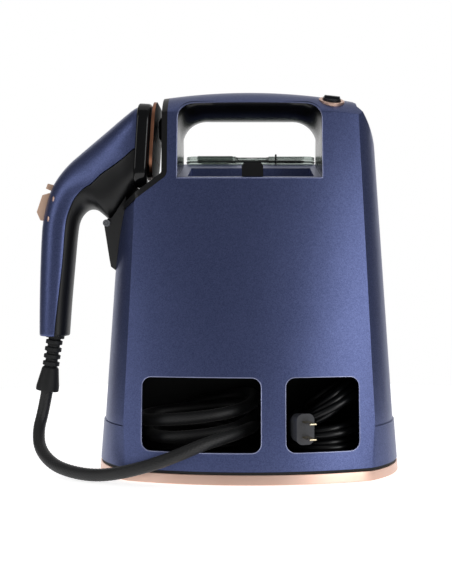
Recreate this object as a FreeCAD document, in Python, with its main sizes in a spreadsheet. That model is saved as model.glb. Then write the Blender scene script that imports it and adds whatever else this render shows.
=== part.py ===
"""Garment steamer: a free-standing base with a carry handle, a water tank and two cord bins,
and a steam handset that hangs in a dock on its left side. Millimetres, +Z up.
The origin is on the floor under the middle of the base. -Y is the rear, where the bins open."""

import FreeCAD, Part
import math
import os
import re

import Sketcher
from FreeCAD import Rotation, Vector

doc = FreeCAD.newDocument("GarmentSteamer")

# ---------------------------------------------------------------- driving dimensions
SIZES = {
    # hull: width, depth and facet corner at three levels
    "base_width": 272, "base_depth": 176, "base_facet_x": 104, "base_facet_y": 68,
    "flare_level": 52, "flare_width": 264, "flare_depth": 163, "flare_facet_x": 108, "flare_facet_y": 62,
    "crown_level": 343, "crown_width": 225.4, "crown_depth": 78, "crown_facet_x": 95.5,
    "crown_facet_y": 36,
    "wall": 2.5, "panel_recess": 1.2, "panel_wall": 2, "panel_foot": 46, "fit_gap": 0.1,
    # rim, gasket and underside
    "band_low": 0.6, "band_top": 9, "band_wall": 4, "gasket_top": 11.5, "gasket_inset": 1,
    "plate_low": 1.2, "plate_wall": 3, "foot_inset": 8, "foot_width": 9,
    "post_radius": 5, "screw_radius": 1.75, "screw_head_radius": 3.5, "screw_head_depth": 1.6,
    "post_spread_x": 88, "post_spread_y": 26,
    # shoulders and roof
    "shoulder_drop": 71, "shoulder_width": 236, "shoulder_mid_x": 110.5, "shoulder_mid_drop": 35,
    "roof_edge_x": 92, "roof_edge_drop": 8, "arch_radius": 54, "brow_radius": 15, "brow_slope": 44,
    "cap_drop": 24, "cap_radius": 50, "cap_end": 96,
    # carry handle
    "grip_left": 63, "grip_right": 64, "grip_floor": 261, "grip_rise": 22, "grip_drop": 14,
    "grip_corner": 15, "grip_pad": 3.5, "liner_wall": 2.5, "tray_wall": 2.5,
    "pocket_left": 54, "pocket_right": 57, "pocket_back": 43, "pocket_front": 15, "pocket_depth": 8,
    # dock for the handset
    "dock_face": 72, "dock_trim": 5, "dock_corner_level": 263.3, "dock_run": 47, "dock_fall": 35,
    "dock_round": 8, "dock_window_low": 274, "dock_window_high": 324,
    "dock_window_half": 33, "dock_recess": 3,
    # bins
    "window_low": 27, "window_high": 89, "window_corner": 8, "bin_wall": 2, "bin_floor": 20,
    "bin_roof": 92, "bin_back": 32,
    "hose_window_left": 91.6, "hose_window_right": 9.9, "hose_bin_left": 108, "hose_bin_right": 14,
    "cord_window_left": 31, "cord_window_right": 94, "cord_bin_left": 20, "cord_bin_right": 108,
    "deck_wall": 3,
    # water tank and its bay
    "tank_left": 61, "tank_right": 64, "tank_rear": 47, "tank_front": 86, "tank_floor": 34,
    "tank_top": 282, "tank_wall": 2, "tank_corner": 10, "tank_gap": 1.5, "seat_gap": 0.3,
    "lid_height": 9, "bay_wall": 2, "scoop_radius": 16, "scoop_depth": 6,
    # filler cap
    "cap_left": 50, "cap_right": 16, "cap_rear": 57, "cap_front": 80, "cap_wall": 3, "lid_gap": 0.4,
    # dial
    "dial_x": 74, "dial_y": -24, "dial_radius": 8, "bezel_radius": 11.5, "dial_height": 3.2,
    "dial_tilt_back": 24, "dial_tilt_side": 6,
    # handset
    "shell_wall": 2.5, "plate_thickness": 2.8, "plate_half": 40, "ring_half": 43, "trigger_half": 8,
    "slot_gap": 0.4, "trigger_travel": 3, "steam_hole_radius": 1.5,
    # cords
    "hose_diameter": 11, "cord_diameter": 6.5, "bend_radius": 44,
    "relief_length": 52, "relief_tilt": 8.3,
}

sheet = doc.addObject("Spreadsheet::Sheet", "Sizes")
for row, (alias, number) in enumerate(SIZES.items(), start=1):
    sheet.set(f"A{row}", alias)
    sheet.set(f"B{row}", str(number))
    sheet.setAlias(f"B{row}", alias)
doc.recompute()


def size(alias):
    """The number in a cell."""
    return float(sheet.get(alias))


def cell(expression):
    """The expression with each alias pointed at the sheet."""

    def point(word):
        return f"Sizes.{word.group()}" if word.group() in SIZES else word.group()

    return re.sub(r"[a-z][a-z0-9_]*", point, str(expression))


# ---------------------------------------------------------------- ways to make a piece
sub_parts = []


def sub_part(label, thing):
    """Names a finished piece and lists it for export."""
    thing.Label = label
    sub_parts.append(thing)
    return thing


def feature(name, shape):
    thing = doc.addObject("Part::Feature", name)
    thing.Shape = shape
    return thing


def box(name, x, y, z):
    """A block between two places along each axis."""
    block = doc.addObject("Part::Box", name)
    for side, axis, (low, high) in zip(("Length", "Width", "Height"), "xyz", (x, y, z)):
        block.setExpression(side, cell(f"({high}) - ({low})"))
        block.setExpression(f"Placement.Base.{axis}", cell(low))
    return block


FACING = {
    "x": Rotation(Vector(0, 1, 0), 90),
    "y": Rotation(Vector(1, 0, 0), -90),
    "z": Rotation(),
}


def rod(name, radius, start, length, axis="z"):
    """A cylinder from a start point along one axis."""
    cylinder = doc.addObject("Part::Cylinder", name)
    cylinder.Placement.Rotation = FACING[axis]
    cylinder.setExpression("Radius", cell(radius))
    cylinder.setExpression("Height", cell(length))
    for letter, place in zip("xyz", start):
        cylinder.setExpression(f"Placement.Base.{letter}", cell(place))
    return cylinder


def join(name, *parts):
    fused = doc.addObject("Part::MultiFuse", name)
    fused.Shapes = list(parts)
    return fused


def cut(name, base, *tools):
    """The base less every tool."""
    tool = tools[0] if len(tools) == 1 else join(name + "_tools", *tools)
    less = doc.addObject("Part::Cut", name)
    less.Base = base
    less.Tool = tool
    return less


def common(name, *parts):
    shared = doc.addObject("Part::MultiCommon", name)
    shared.Shapes = list(parts)
    return shared


def prism(name, plane, points, along, corners=(), radius=None):
    """A pad of a polygon drawn on the XY, XZ or YZ plane, between two places along the third axis.
    Each point is two expressions. The corners listed by number are rounded."""
    low, high = along
    body = doc.addObject("PartDesign::Body", name)
    sketch = body.newObject("Sketcher::SketchObject", name + "_outline")
    origin = [f for f in body.Origin.OriginFeatures if f.Role == plane + "_Plane"][0]
    sketch.AttachmentSupport = [(origin, "")]
    sketch.MapMode = "FlatFace"
    start = f"-({high})" if plane == "XZ" else low
    sketch.setExpression("AttachmentOffset.Base.z", cell(start))
    spots = [Vector(*[measured(place) for place in point], 0) for point in points]
    for here, there in zip(spots, spots[1:] + spots[:1]):
        sketch.addGeometry(Part.LineSegment(here, there), False)
    for line in range(len(spots)):
        sketch.addConstraint(Sketcher.Constraint("Coincident", line, 2, (line + 1) % len(spots), 1))
    for line, point in enumerate(points):
        for kind, place, spot in zip(("DistanceX", "DistanceY"), point, spots[line][:2]):
            number = sketch.addConstraint(Sketcher.Constraint(kind, -1, 1, line, 1, spot))
            sketch.setExpression(f"Constraints[{number}]", cell(place))
    pad = body.newObject("PartDesign::Pad", name + "_pad")
    pad.Profile = sketch
    pad.setExpression("Length", cell(f"({high}) - ({low})"))
    if corners:
        doc.recompute()
        places = [sketch.Placement.multVec(spots[number]) for number in corners]
        fillet = body.newObject("PartDesign::Fillet", name + "_fillet")
        fillet.Base = (pad, corner_edges(pad.Shape, places))
        fillet.setExpression("Radius", cell(radius))
    return body


def corner_edges(shape, places):
    """The names of the edges that have an end at one of the places and run along the pad."""
    names = []
    for number, edge in enumerate(shape.Edges, start=1):
        ends = [vertex.Point for vertex in edge.Vertexes]
        along = (ends[-1] - ends[0]).normalize()
        for place in places:
            near = min(((end - place) - along * (end - place).dot(along)).Length for end in ends)
            reach = min((end - place).Length for end in ends)
            if near < 1e-4 and reach < 1e-4 and is_pad_edge(along, shape):
                names.append(f"Edge{number}")
    return names


def is_pad_edge(along, shape):
    """True for an edge square to the flat face of the outline."""
    caps = sorted(shape.Faces, key=lambda face: len(face.Edges))[-1]
    return abs(abs(along.dot(caps.normalAt(0, 0))) - 1) < 1e-6


scratch = doc.addObject("Spreadsheet::Sheet", "Scratch")


def measured(expression):
    """The number that an expression comes to."""
    scratch.set("A1", "=" + cell(expression))
    scratch.recompute()
    return float(scratch.get("A1"))


# ---------------------------------------------------------------- the hull
def level_at(height):
    """Half width, half depth and facet corner of the hull at a height, between its three levels."""
    levels = [
        (0, size("base_width") / 2, size("base_depth") / 2, size("base_facet_x"), size("base_facet_y")),
        (
            size("flare_level"), size("flare_width") / 2, size("flare_depth") / 2,
            size("flare_facet_x"), size("flare_facet_y"),
        ),
        (
            size("crown_level"), size("crown_width") / 2, size("crown_depth") / 2,
            size("crown_facet_x"), size("crown_facet_y"),
        ),
    ]
    low, high = levels[:2] if height < levels[1][0] else levels[1:]
    share = (height - low[0]) / (high[0] - low[0])
    return [a + (b - a) * share for a, b in zip(low[1:], high[1:])]


FACET_X, FACET_Y = 0.55, 0.85  # the way a facet corner moves as the outline is inset


def outline_at(height, inset):
    """A closed outline of four arcs, wide ones across the rear and front and deep ones at the sides."""
    half_width, half_depth, facet_x, facet_y = level_at(height)
    across, deep = half_width - inset, half_depth - inset
    corner_x, corner_y = facet_x - FACET_X * inset, facet_y - FACET_Y * inset
    corners = [(-corner_x, -corner_y), (corner_x, -corner_y), (corner_x, corner_y), (-corner_x, corner_y)]
    middles = [(0, -deep), (across, 0), (0, deep), (-across, 0)]
    arcs = []
    for number in range(4):
        start, middle, end = corners[number], middles[number], corners[(number + 1) % 4]
        arcs.append(Part.Arc(*[Vector(x, y, height) for x, y in (start, middle, end)]).toShape())
    return Part.Wire(arcs)


def hull(low, high, inset=0):
    """The tapered body between two heights, drawn in by an inset."""
    flare = size("flare_level")
    heights = [low] + ([flare] if low < flare < high else []) + [high]
    return Part.makeLoft([outline_at(height, inset) for height in heights], True, True)


def polar(centre, radius, degrees):
    """A place in the YZ plane at an angle from straight up, positive towards the rear."""
    angle = math.radians(degrees)
    return centre + Vector(0, -radius * math.sin(angle), radius * math.cos(angle))


def arched_block(inset):
    """Everything under the roof: its rear-to-front arch, swung along the side-to-side arch."""
    crown, arch, brow = size("crown_level"), size("arch_radius"), size("brow_radius")
    slope, plumb = size("brow_slope"), 82  # degrees, where the arch turns into the brow and where that ends
    arch_middle = Vector(0, 0, crown - arch)
    brow_middle = polar(arch_middle, arch - brow, slope)
    outline = [
        polar(arch_middle, arch - inset, slope), polar(brow_middle, brow - inset, (slope + plumb) / 2),
        polar(brow_middle, brow - inset, plumb),
    ]
    skirt_level, skirt_out = 250, 22
    outline.append(Vector(0, outline[2].y - skirt_out, skirt_level))
    front = [Vector(0, -spot.y, spot.z) for spot in outline]
    edges = [
        Part.Arc(outline[0], Vector(0, 0, crown - inset), front[0]).toShape(), Part.Arc(*front[:3]).toShape(),
        Part.makeLine(front[2], front[3]), Part.makeLine(front[3], outline[3]),
        Part.makeLine(outline[3], outline[2]), Part.Arc(*outline[:3]).toShape(),
    ]
    edge_x, edge_drop = size("roof_edge_x"), size("roof_edge_drop")
    sweep_radius = (edge_x ** 2 + edge_drop ** 2) / (2 * edge_drop)
    pivot, half_swing = Vector(0, 0, crown - sweep_radius), 17
    section = Part.Face(Part.Wire(edges))
    section.rotate(pivot, Vector(0, 1, 0), -half_swing)
    swung = section.revolve(pivot, Vector(0, 1, 0), 2 * half_swing)
    wide, overlap = 200, 8
    return swung.fuse(Part.makeBox(2 * wide, 2 * wide, skirt_level + overlap, Vector(-wide, -wide, 0)))


def shoulder_block(inset):
    """Everything between the round shoulders, seen from the front."""
    crown, wide, deep, bottom = size("crown_level"), 200, 200, -20
    side, shoulder = size("shoulder_width") / 2 - inset, crown - size("shoulder_drop")
    middle = Vector(size("shoulder_mid_x") - inset, 0, crown - size("shoulder_mid_drop") - inset)
    eave = Vector(size("roof_edge_x") - inset, 0, crown - size("roof_edge_drop") - inset)
    rise = 20
    over = Vector(eave.x - rise * (side - eave.x) / (crown - shoulder), 0, eave.z + rise)
    right = [Vector(side, 0, shoulder), middle, eave]
    left = [Vector(-spot.x, 0, spot.z) for spot in reversed(right)]
    roof_line = [eave, over, Vector(-over.x, 0, over.z), left[0]]
    skirt = [left[2], Vector(-wide, 0, shoulder - 80), Vector(-wide, 0, bottom)]
    skirt += [Vector(wide, 0, bottom), Vector(wide, 0, shoulder - 80), right[0]]
    edges = [Part.Arc(*right).toShape()] + [Part.makeLine(a, b) for a, b in zip(roof_line, roof_line[1:])]
    edges += [Part.Arc(*left).toShape()] + [Part.makeLine(a, b) for a, b in zip(skirt, skirt[1:])]
    block = Part.Face(Part.Wire(edges)).extrude(Vector(0, 2 * deep, 0))
    block.translate(Vector(0, -deep, 0))
    return block


def roofed(low, inset):
    """The hull under its roof, drawn in by an inset."""
    solid = hull(low, size("crown_level") + 5, inset)
    return solid.common(shoulder_block(inset)).common(arched_block(inset))


gasket_top = size("gasket_top")
wall = size("wall")
skin_depth = max(wall, size("panel_recess") + size("panel_wall"))
inside_of = feature("inside_of_hull", roofed(gasket_top, skin_depth + size("fit_gap")))
hull_skin = feature("hull_skin", roofed(gasket_top, 0).cut(roofed(gasket_top - 1, wall)))
hull_block = feature("hull_block", roofed(gasket_top, 0))
panel_skin = feature(
    "panel_skin",
    roofed(gasket_top, size("panel_recess")).cut(
        roofed(gasket_top - 1, size("panel_recess") + size("panel_wall"))
    ),
)
panel_core_tool = feature("panel_core_tool", roofed(gasket_top, size("panel_recess") - size("fit_gap")))

far = 220  # well outside the object, for cutting tools
facet_slope = "(flare_facet_x - crown_facet_x) / (crown_level - flare_level)"
facet_foot = f"flare_facet_x + ({facet_slope}) * (flare_level - panel_foot)"
facet_head = f"crown_facet_x - ({facet_slope}) * 20"


def side_region(name, sign):
    """Everything outboard of the facet line on one side."""
    outer = f"{sign * far}"
    points = [
        (f"{sign} * ({facet_foot})", "panel_foot"), (outer, "panel_foot"),
        (outer, "crown_level + 20"), (f"{sign} * ({facet_head})", "crown_level + 20"),
    ]
    return prism(name, "XZ", points, (-far, far))


def notch(name, setback):
    """The corner that the dock takes out of the hull, moved out from its walls by a setback."""
    lean = f"({setback}) * sqrt(dock_run ^ 2 + dock_fall ^ 2) / dock_run"
    corner_x = f"-(dock_face + {setback})"
    corner_z = f"dock_corner_level + {lean} - ({setback}) * dock_fall / dock_run"
    points = [
        (f"-{far}", "crown_level + 30"),
        (f"-{far}", f"{corner_z} - ({far} - dock_face - ({setback})) * dock_fall / dock_run"),
        (corner_x, corner_z),
        (corner_x, "crown_level + 30"),
    ]
    return prism(name, "XZ", points, (-far, far), (2,), f"dock_round - ({setback})")


def handle_opening(name):
    """The hand hole, with round upper corners and a floor that climbs towards the front."""
    low = "grip_floor - 20"
    roof = "crown_level - grip_drop"
    points = [("-grip_left", low), ("grip_right", low), ("grip_right", roof), ("-grip_left", roof)]
    arch = prism(name + "_arch", "XZ", points, (-far, far), (2, 3), "grip_corner")
    return common(name, arch, above_tray(name + "_above", "0"))


TRAY_REAR, TRAY_FRONT = -50, 45  # where the tray's slope is measured


def tray_level(y, lift="0"):
    """The height of the tray's upper face at a place from rear to front."""
    return f"grip_floor + grip_rise * (({y}) - ({TRAY_REAR})) / {TRAY_FRONT - TRAY_REAR} + ({lift})"


def above_tray(name, lift):
    points = [
        (-120, tray_level(-120, lift)), (120, tray_level(120, lift)),
        (120, "crown_level + 60"), (-120, "crown_level + 60"),
    ]
    return prism(name, "YZ", points, (-far, far))


bay = ("-(tank_left + tank_gap)", "tank_right + tank_gap")
bay_rear = "tank_rear - tank_gap"
bay_floor = "tank_floor - seat_gap"


def tank_bay_space(name, grow="0"):
    return box(
        name,
        (f"{bay[0]} - ({grow})", f"{bay[1]} + ({grow})"),
        (f"{bay_rear} - ({grow})", far),
        (f"{bay_floor} - ({grow})", "crown_level + 30"),
    )


def window(name, left, right):
    """A bin's mouth through the rear wall, with round corners."""
    points = [(left, "window_low"), (right, "window_low"), (right, "window_high"), (left, "window_high")]
    return prism(name, "XZ", points, (-far, -40), (0, 1, 2, 3), "window_corner")


def top_region(name, grow="0"):
    """The capsule-shaped cover over the handle."""
    low = "crown_level - cap_drop"
    body = box(
        name + "_run", (-far, "cap_end - cap_radius"),
        (f"-cap_radius - ({grow})", f"cap_radius + ({grow})"), (low, "crown_level + 30"),
    )
    end = rod(
        name + "_end", f"cap_radius + ({grow})", ("cap_end - cap_radius", 0, low), "cap_drop + 30"
    )
    return join(name, body, end)


shell_tools = [
    notch("notch_cut", "0"), handle_opening("opening_cut"), tank_bay_space("bay_cut"),
    window("hose_window_cut", "-hose_window_left", "hose_window_right"),
    window("cord_window_cut", "cord_window_left", "cord_window_right"),
]
skin_with_openings = cut("skin_with_openings", hull_skin, *shell_tools)
right_region = side_region("right_region", 1)
left_region = side_region("left_region", -1)
cap_region = top_region("cap_region")
wrap = cut("wrap", skin_with_openings, right_region, left_region, cap_region)
rear_half = box("rear_half", (-far, far), (-far, 0), (0, 500))
front_half = box("front_half", (-far, far), (0, far), (0, 500))
sub_part("rear_housing", common("rear_shell", wrap, rear_half))
sub_part("front_housing", common("front_shell", wrap, front_half))
cover_blank = common("cap_shell", skin_with_openings, top_region("cap_part"))

panel_cutters = [notch("panel_notch", "0"), top_region("panel_top", "fit_gap")]
side_skin = cut("side_skin", panel_skin, *panel_cutters)
sub_part("right_side_panel", common("right_panel", side_skin, side_region("right_side", 1)))
sub_part("left_side_panel", common("left_panel", side_skin, side_region("left_side", -1)))

# ---------------------------------------------------------------- rim, gasket and underside
band_top, band_wall = size("band_top"), size("band_wall")
rim = hull(size("band_low"), band_top).cut(hull(size("band_low") - 1, band_top + 1, band_wall))
sub_part("base_band", feature("rim_ring", rim))
seal = hull(band_top, gasket_top, size("gasket_inset")).cut(hull(band_top - 1, gasket_top + 1, band_wall))
sub_part("base_gasket", feature("gasket_ring", seal))

plate_low, plate_top = size("plate_low"), size("plate_low") + size("plate_wall")
floor_slab = feature("floor_slab", hull(plate_low, plate_top, band_wall + size("fit_gap")))
post_spots = [(x, y) for x in (-1, 1) for y in (-1, 1)]
bin_under = "bin_floor - bin_wall"
posts, bores, screws, screw_holes = [], [], [], []
for number, (x, y) in enumerate(post_spots):
    spot = (f"{x} * post_spread_x - 2", f"{y} * post_spread_y - 22")
    posts.append(rod(f"post_{number}", "post_radius", (*spot, "plate_low"), f"{bin_under} - plate_low"))
    head = rod(
        f"screw_head_{number}", "screw_head_radius", (*spot, "plate_low + 0.2"), "screw_head_depth"
    )
    shank = rod(
        f"screw_shank_{number}", "screw_radius", (*spot, "plate_low + 0.2"), "bin_floor - plate_low - 0.7"
    )
    screws.append(join(f"screw_{number}", head, shank))
    bore = rod(f"screw_bore_{number}", "screw_radius + fit_gap", (*spot, 0), "bin_floor - 0.4")
    sink = rod(
        f"screw_sink_{number}", "screw_head_radius + fit_gap", (*spot, 0),
        "plate_low + 0.2 + screw_head_depth",
    )
    bores += [bore, sink]
    screw_holes.append(rod(f"screw_hole_{number}", "screw_radius + fit_gap", (*spot, 0), "bin_floor - 0.4"))
sub_part("bottom_plate", cut("floor_with_posts", join("floor_blank", floor_slab, *posts), *bores))
sub_part("base_screws", join("screw_set", *screws))
foot_low, foot_inset = 0, size("foot_inset")
foot = hull(foot_low, plate_low, foot_inset).cut(
    hull(foot_low - 1, plate_low + 1, foot_inset + size("foot_width"))
)
sub_part("rubber_foot_ring", feature("foot_ring", foot))

# ---------------------------------------------------------------- bins and deck
def bin_box(name, left, right, holes):
    """A box open to its window, that fills the hull from the rear wall to its back wall."""
    outer = box(
        name + "_outer", (f"{left} - bin_wall", f"{right} + bin_wall"), (-far, "bin_back + bin_wall"),
        ("bin_floor - bin_wall", "bin_roof + bin_wall"),
    )
    inner = box(name + "_inner", (left, right), (-far, "bin_back"), ("bin_floor", "bin_roof"))
    return cut(name, common(name + "_block", outer, inside_of), inner, *holes)


hose_holes = [hole for hole, spot in zip(screw_holes, post_spots) if spot[0] < 0]
cord_holes = [hole for hole, spot in zip(screw_holes, post_spots) if spot[0] > 0]
HOSE_END_Y, HOSE_END_Z = 21, 40  # where the hose goes into the left wall of its bin
hose_port = rod(
    "hose_port", "hose_diameter / 2 + 1.5", ("-hose_bin_left - bin_wall - 1", HOSE_END_Y, HOSE_END_Z),
    "bin_wall + 2", "x",
)
CORD_END_X, CORD_END_Z = 31, 34  # where the mains cord goes through the back wall of its bin
cord_port = rod(
    "cord_port", "cord_diameter / 2 + 2", (CORD_END_X, "bin_back - 1", CORD_END_Z), "bin_wall + 2", "y"
)
sub_part("hose_bin", bin_box(
    "hose_box", "-hose_bin_left", "hose_bin_right", [*hose_holes, hose_port],
))
sub_part("cord_bin", bin_box(
    "cord_box", "cord_bin_left", "cord_bin_right", [*cord_holes, cord_port],
))
deck_low, deck_top = "bin_roof + bin_wall", "bin_roof + bin_wall + deck_wall"
deck_block = box("deck_block", (-far, far), (-far, f"{bay_rear} - bay_wall"), (deck_low, deck_top))
STEAM_PIPE_X, SUPPLY_PIPE_X, SUPPLY_PIPE_Y = -119, 0, 39
pipe_notch = box("pipe_notch", (-far, "-hose_bin_left - bin_wall - 1"), (12, 36), (deck_low, deck_top))
supply_hole = rod("supply_hole", 3.6, (SUPPLY_PIPE_X, SUPPLY_PIPE_Y, deck_low), "deck_wall")
mains_hole = box("mains_hole", (26, 36), (34.5, 42), (deck_low, deck_top))
sub_part("deck_plate", cut(
    "deck", common("deck_slab", deck_block, inside_of), pipe_notch, supply_hole, mains_hole
))

# ---------------------------------------------------------------- tank bay, socket and valve
bay_outer = common("bay_outer", tank_bay_space("bay_grown", "bay_wall"), inside_of)
bay_under_tray = above_tray("bay_trim", "-tray_wall - 0.3")
VALVE_Z = 50
SOCKET_RADIUS = 6.5
socket_hole = rod(
    "socket_hole", SOCKET_RADIUS, (SUPPLY_PIPE_X, f"{bay_rear} - bay_wall - 1", VALVE_Z), "bay_wall + 2", "y"
)
sub_part("tank_bay", cut("bay_shell", bay_outer, tank_bay_space("bay_room"), bay_under_tray, socket_hole))
socket = rod("socket_body", 9, (SUPPLY_PIPE_X, f"{bay_rear} - bay_wall - 7", VALVE_Z), 7, "y")
socket_bore = rod("socket_bore", 6.5, (SUPPLY_PIPE_X, f"{bay_rear} - bay_wall - 4", VALVE_Z), 5, "y")
socket_way = rod("socket_way", 2, (SUPPLY_PIPE_X, SUPPLY_PIPE_Y, VALVE_Z), 20)
sub_part("tank_socket", cut("socket", socket, socket_bore, socket_way))

tank_outer = prism(
    "tank_outer", "XY",
    [("-tank_left", "tank_rear"), ("tank_right", "tank_rear"), ("tank_right", "tank_front"),
     ("-tank_left", "tank_front")],
    ("tank_floor", "tank_top"), (0, 1, 2, 3), "tank_corner",
)
tank_inner = prism(
    "tank_inner", "XY",
    [("-tank_left + tank_wall", "tank_rear + tank_wall"),
     ("tank_right - tank_wall", "tank_rear + tank_wall"),
     ("tank_right - tank_wall", "tank_front - tank_wall"),
     ("-tank_left + tank_wall", "tank_front - tank_wall")],
    ("tank_floor + tank_wall", "tank_top + 1"), (0, 1, 2, 3), "tank_corner - tank_wall",
)
valve_hole = rod("valve_hole", 5, (SUPPLY_PIPE_X, "tank_rear - 1", VALVE_Z), "tank_wall + 2", "y")
sub_part("water_tank", cut("tank", tank_outer, tank_inner, valve_hole))
valve_body = rod("valve_body", 5, (SUPPLY_PIPE_X, "tank_rear - 4", VALVE_Z), "tank_wall + 8", "y")
valve_way = rod("valve_way", 2, (SUPPLY_PIPE_X, "tank_rear - 5", VALVE_Z), "tank_wall + 10", "y")
sub_part("tank_valve", cut("valve", valve_body, valve_way))

# lid with a finger scoop behind the latch, a skirt inside the tank and a hinged filler cap
LATCH_X = 3
lid_block = prism(
    "lid_block", "XY",
    [("-tank_left", "tank_rear"), ("tank_right", "tank_rear"), ("tank_right", "tank_front"),
     ("-tank_left", "tank_front")],
    ("tank_top", "tank_top + lid_height"), (0, 1, 2, 3), "tank_corner",
)
SKIRT_PLAY = 0.2
skirt_inset = f"(tank_wall + {SKIRT_PLAY})"
skirt_block = prism(
    "skirt_block", "XY",
    [(f"-tank_left + {skirt_inset}", f"tank_rear + {skirt_inset}"),
     (f"tank_right - {skirt_inset}", f"tank_rear + {skirt_inset}"),
     (f"tank_right - {skirt_inset}", f"tank_front - {skirt_inset}"),
     (f"-tank_left + {skirt_inset}", f"tank_front - {skirt_inset}")],
    ("tank_top - 3", "tank_top + 1"), (0, 1, 2, 3), f"tank_corner - {skirt_inset}",
)
scoop = rod("scoop", "scoop_radius", (LATCH_X, "tank_rear", "tank_top + lid_height - scoop_depth"), 20)
lid_face = "tank_top + lid_height"
KNUCKLE_RADIUS, FILLER_INSET = 1.4, 4
VENT_X, VENT_Y, VENT_PIN_RADIUS, VENT_PLAY, VENT_RISE = 26, 50.6, 0.9, 0.05, 1.5
cap_seat = box(
    "cap_seat", ("-cap_left - lid_gap", "-cap_right + lid_gap"),
    (f"cap_rear - {KNUCKLE_RADIUS} - lid_gap", "cap_front + lid_gap"),
    (f"{lid_face} - cap_wall", f"{lid_face} + 5"),
)
filler_hole = box(
    "filler_hole", (f"-cap_left + {FILLER_INSET}", f"-cap_right - {FILLER_INSET}"),
    (f"cap_rear + {FILLER_INSET}", f"cap_front - {FILLER_INSET}"), ("tank_top - 5", lid_face),
)
vent_hole = rod("vent_hole", VENT_PIN_RADIUS + VENT_PLAY, (VENT_X, VENT_Y, "tank_top + 1"), 20)
sub_part("tank_lid", cut(
    "lid", join("lid_blank", lid_block, skirt_block), scoop, cap_seat, filler_hole, vent_hole
))
vent_rod = rod("vent_rod", VENT_PIN_RADIUS, (VENT_X, VENT_Y, "tank_top + 1"), f"lid_height + {VENT_RISE}")
sub_part("vent_pin", vent_rod)
cap_low = f"{lid_face} - cap_wall + 0.1"
flap = box("flap", ("-cap_left", "-cap_right"), ("cap_rear", "cap_front"), (cap_low, lid_face))
knuckle = rod(
    "knuckle", KNUCKLE_RADIUS, ("-cap_left", "cap_rear", f"{lid_face} + 0.2"), "cap_left - cap_right", "x"
)
plug = box(
    "cap_plug", (f"-cap_left + {FILLER_INSET} + 0.3", f"-cap_right - {FILLER_INSET} - 0.3"),
    ("cap_rear + 6.5", "cap_front - 5"), (f"{lid_face} - cap_wall - 1.5", f"{lid_face} - 1"),
)
sub_part("filler_cap", join("cap_blank", flap, knuckle, plug))

# ---------------------------------------------------------------- carry handle: liner, grip and tray
roof = "crown_level - grip_drop"
liner_rise = ("grip_floor - 10", f"{roof} - grip_corner + 1")
left_wall = box("liner_left_wall", ("-grip_left - liner_wall", "-grip_left"), (-60, 60), liner_rise)
right_wall = box("liner_right_wall", ("grip_right", "grip_right + liner_wall"), (-60, 60), liner_rise)
liner_walls = common(
    "liner_walls", join("liner_pair", left_wall, right_wall), inside_of, above_tray("liner_above", "0.1")
)
liner_room = box("liner_room", (-far, far), (f"{bay_rear} - bay_wall - 0.2", far), (0, "tank_top + 3"))
sub_part("handle_liner", cut("liner", liner_walls, liner_room))
pad_arch = prism(
    "pad_arch", "XZ",
    [("-grip_left", "grip_floor - 20"), ("grip_right", "grip_floor - 20"), ("grip_right", roof),
     ("-grip_left", roof)],
    (-40, 40), (2, 3), "grip_corner",
)
pad_room = prism(
    "pad_room", "XZ",
    [("-grip_left + grip_pad", "grip_floor - 21"), ("grip_right - grip_pad", "grip_floor - 21"),
     ("grip_right - grip_pad", f"{roof} - grip_pad"), ("-grip_left + grip_pad", f"{roof} - grip_pad")],
    (-60, 60), (2, 3), "grip_corner - grip_pad",
)
pad_below = box("pad_below", (-far, far), (-far, far), (0, f"{roof} - grip_corner"))
sub_part("grip_insert", cut("pad", pad_arch, pad_room, pad_below))

tray_slab = prism(
    "tray_slab", "YZ",
    [(-120, tray_level(-120, "-tray_wall")), (120, tray_level(120, "-tray_wall")),
     (120, tray_level(120)), (-120, tray_level(-120))],
    ("-grip_left - liner_wall", "grip_right + liner_wall"),
)
tub_outer = box(
    "tub_outer", ("-pocket_left - tray_wall", "pocket_right + tray_wall"),
    ("-pocket_back - tray_wall", "pocket_front + tray_wall"),
    ("grip_floor - pocket_depth - tray_wall", tray_level("pocket_front")),
)
tub_below = above_tray("tub_above", "-tray_wall")
pocket_low = "grip_floor - pocket_depth + 1"
pocket = box(
    "pocket", ("-pocket_left", "pocket_right"), ("-pocket_back", "pocket_front"), (pocket_low, 400)
)
tray_block = common("tray_block", join("tray_blank", tray_slab, cut("tub", tub_outer, tub_below)), inside_of)
tray_stop = box("tray_stop", (-far, far), (f"{bay_rear} - bay_wall", far), (0, 500))
sub_part("handle_tray", cut("tray", tray_block, pocket, tray_stop))

# round boss and sprung tab that release the tank
BOSS_RADIUS, BOSS_Y = 28, -14
boss_disc = rod("boss_disc", BOSS_RADIUS, (LATCH_X, BOSS_Y, pocket_low), 4)
LATCH_Y, LATCH_PIVOT_Z, LATCH_TOP = -36, 257, 275.6
TAB_HALF, TAB_HALF_THICK, TAB_CORNER, TAB_LIFT = 9.5, 1.8, 4, 0.7
PIN_RADIUS, PIN_PLAY, PIN_HALF, BOSS_HEIGHT, YOKE_HALF = 1.6, 0.05, 13, 4, 14
boss_slot = box(
    "boss_slot", (LATCH_X - TAB_HALF - 1, LATCH_X + TAB_HALF + 1), (LATCH_Y - 3.5, LATCH_Y + 4.5), (200, 300)
)
pin_bore = rod("pin_bore", PIN_RADIUS + PIN_PLAY, (LATCH_X - PIN_HALF - 2, LATCH_Y, LATCH_PIVOT_Z), 30, "x")
boss_yoke = box(
    "boss_yoke", (LATCH_X - YOKE_HALF, LATCH_X + YOKE_HALF), (LATCH_Y - 3, LATCH_Y + 4),
    (pocket_low, f"{pocket_low} + {BOSS_HEIGHT}"),
)
sub_part("latch_boss", cut("boss", join("boss_blank", boss_disc, boss_yoke), boss_slot, pin_bore))
tab_low = f"{pocket_low} + {TAB_LIFT}"
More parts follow.
